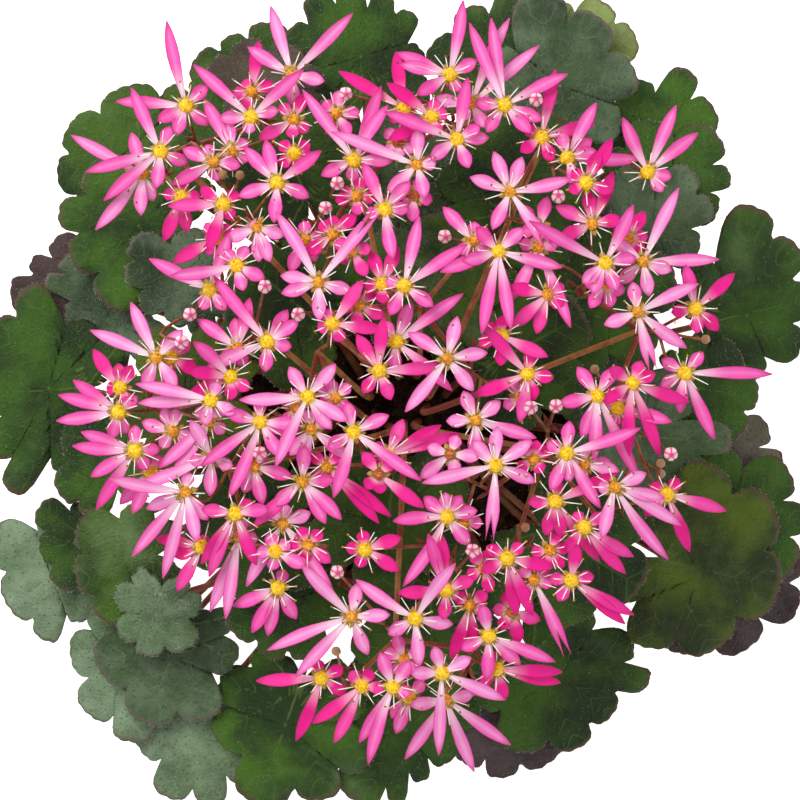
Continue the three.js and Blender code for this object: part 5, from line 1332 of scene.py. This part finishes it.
def make_pot():
    form = Form()
    foot = POT_HEIGHT - RIM_HEIGHT
    outer, inner = POT_TOP_RADIUS + RIM_PROUD, POT_TOP_RADIUS - POT_WALL
    profile = [(0, 0)]
    profile += arc((POT_BASE_RADIUS - 1.2, 1.2), 1.2, -90, -8)
    profile += [(wall_at(foot), foot - 0.6)]
    profile += arc((wall_at(foot) + RIM_PROUD - 0.9, foot + 1.2), 0.9, -90, 0)
    profile += arc((outer - 1.2, POT_HEIGHT - 1.2), 1.2, 0, 90)
    profile += arc((inner + 0.9, POT_HEIGHT - 0.9), 0.9, 90, 180)
    profile += [(wall_at(SOIL_FLOOR) - POT_WALL, SOIL_FLOOR), (wall_at(0) - POT_WALL - 1.5, POT_WALL + 0.8)]
    profile += [(0, POT_WALL + 0.8)]
    lathe(form, profile, ROUND_SIDES)
    pot = form.piece("pot_shell", pot_material(), "pot", ["pot"])
    cutter = Form()
    for i in range(DRAIN_HOLES):
        hole = Form()
        lathe(hole, [(0, -5), (DRAIN_RADIUS, -5), (DRAIN_RADIUS, 10), (0, 10)], 32)
        points = hole.points[0] + np.append(polar(DRAIN_RING, 360 * i / DRAIN_HOLES), 0)
        cutter.add(points, hole.faces, (0, 0, 0))
    tool = new_object("drain_cutter", new_mesh("drain_cutter", np.vstack(cutter.points) * MM, cutter.faces))
    cut = pot.modifiers.new("drain", "BOOLEAN")
    cut.operation, cut.solver, cut.object = "DIFFERENCE", "EXACT", tool
    bpy.context.view_layer.update()
    drained = bpy.data.meshes.new_from_object(pot.evaluated_get(bpy.context.evaluated_depsgraph_get()))
    pot.modifiers.clear()
    pot.data = drained
    bpy.data.objects.remove(tool)


def make_soil():
    form = Form()
    outer = wall_at(SOIL_LEVEL) - POT_WALL - 0.5
    rings = outer * np.sqrt(np.linspace(0, 1, SOIL_RINGS + 1)[1:])
    turns = np.linspace(0, 360, SOIL_SPOKES, endpoint=False)
    x = rings[:, None] * np.cos(np.radians(turns))
    y = rings[:, None] * np.sin(np.radians(turns))
    bumps = sum(size * np.sin(a * x + b * y + c) for size, a, b, c in SOIL_WAVES)
    z = SOIL_LEVEL + bumps + rng.normal(0, 0.16, x.shape)
    z[-1] = SOIL_LEVEL - 0.5
    upper = np.stack([x, y, z], axis=-1).reshape(-1, 3)
    base = wall_at(SOIL_FLOOR) - POT_WALL - 0.9
    foot = np.array([[*polar(base, turned), SOIL_FLOOR] for turned in turns])
    count = len(upper)
    faces = grid_faces(SOIL_RINGS, SOIL_SPOKES, closed=True)
    rim = count - SOIL_SPOKES
    faces += [(rim + (c + 1) % SOIL_SPOKES, rim + c, count + c, count + (c + 1) % SOIL_SPOKES)[::-1]
              for c in range(SOIL_SPOKES)]
    middle = count + SOIL_SPOKES
    faces += [(middle, (c + 1) % SOIL_SPOKES, c)[::-1] for c in range(SOIL_SPOKES)]
    faces += [(middle + 1, count + (c + 1) % SOIL_SPOKES, count + c) for c in range(SOIL_SPOKES)]
    form.add(np.vstack([upper, foot, [0, 0, SOIL_LEVEL], [0, 0, SOIL_FLOOR]]), faces, (0, 0, 0))
    for _ in range(CRUMBS):
        spot = polar(outer * 0.97 * math.sqrt(rng.uniform()), rng.uniform(0, 360))
        size = rng.uniform(0.5, 1.5)
        corners = np.array([[1, 0, 0], [0, 1, 0], [-1, 0, 0], [0, -1, 0], [0, 0, 0.8], [0, 0, -0.8]], float)
        corners = size * corners * rng.uniform(0.6, 1.2, (6, 3)) + [*spot, SOIL_LEVEL + 0.3 * size]
        sides = [(0, 1, 4), (1, 2, 4), (2, 3, 4), (3, 0, 4), (1, 0, 5), (2, 1, 5), (3, 2, 5), (0, 3, 5)]
        form.add(corners, sides, (0, 0, 0))
    form.piece("soil_crumb", soil_material(), "soil", ["soil"])


# Studio
def make_floor():
    corners = [(x * FLOOR_HALF, y * FLOOR_HALF, 0) for x, y in ((-1, -1), (1, -1), (1, 1), (-1, 1))]
    mesh = new_mesh("floor", corners, [(0, 1, 2, 3)])
    floor = new_object("floor", mesh)
    material, board = finish_material("studio_floor", 0.9, Emission_Color=(1, 1, 1, 1), Emission_Strength=0.8)
    shade = board.noise(board.spot(), 0.5, 1)
    board.colour(board.blend(shade, (0.93, 0.93, 0.93, 1), (0.95, 0.95, 0.95, 1)))
    mesh.materials.append(material)


def make_light(name, power, size, at):
    data = bpy.data.lights.new(name, "AREA")
    data.energy = power
    data.shape = "DISK"
    data.size = size
    light = new_object(name, data)
    light.location = at
    way = np.array(LIGHT_TARGET) - np.array(at)
    light.rotation_euler = Vector(way).to_track_quat("-Z", "Y").to_euler()


def make_studio():
    scene = bpy.context.scene
    scene.view_settings.view_transform = "Standard"
    world = bpy.data.worlds.new("studio")
    world.use_nodes = True
    sky = world.node_tree.nodes["Background"].inputs
    sky["Color"].default_value = (1, 1, 1, 1)
    sky["Strength"].default_value = WORLD_STRENGTH
    scene.world = world
    make_light("soft_box_key", *KEY_LIGHT)
    make_light("soft_box_fill", *FILL_LIGHT)
    camera = new_object("camera", bpy.data.cameras.new("camera"))
    camera.location = (0, 0, VIEW_HEIGHT * MM)
    width = PHOTO_SIZE * MM_PER_PIXEL
    camera.data.sensor_width = SENSOR_WIDTH
    camera.data.lens = SENSOR_WIDTH * (VIEW_HEIGHT - BLOOM_LEVEL) / width
    camera.data.clip_start = 0.1
    scene.camera = camera


make_studio()
make_floor()
make_pot()
make_soil()
make_leaves()
make_sprays()
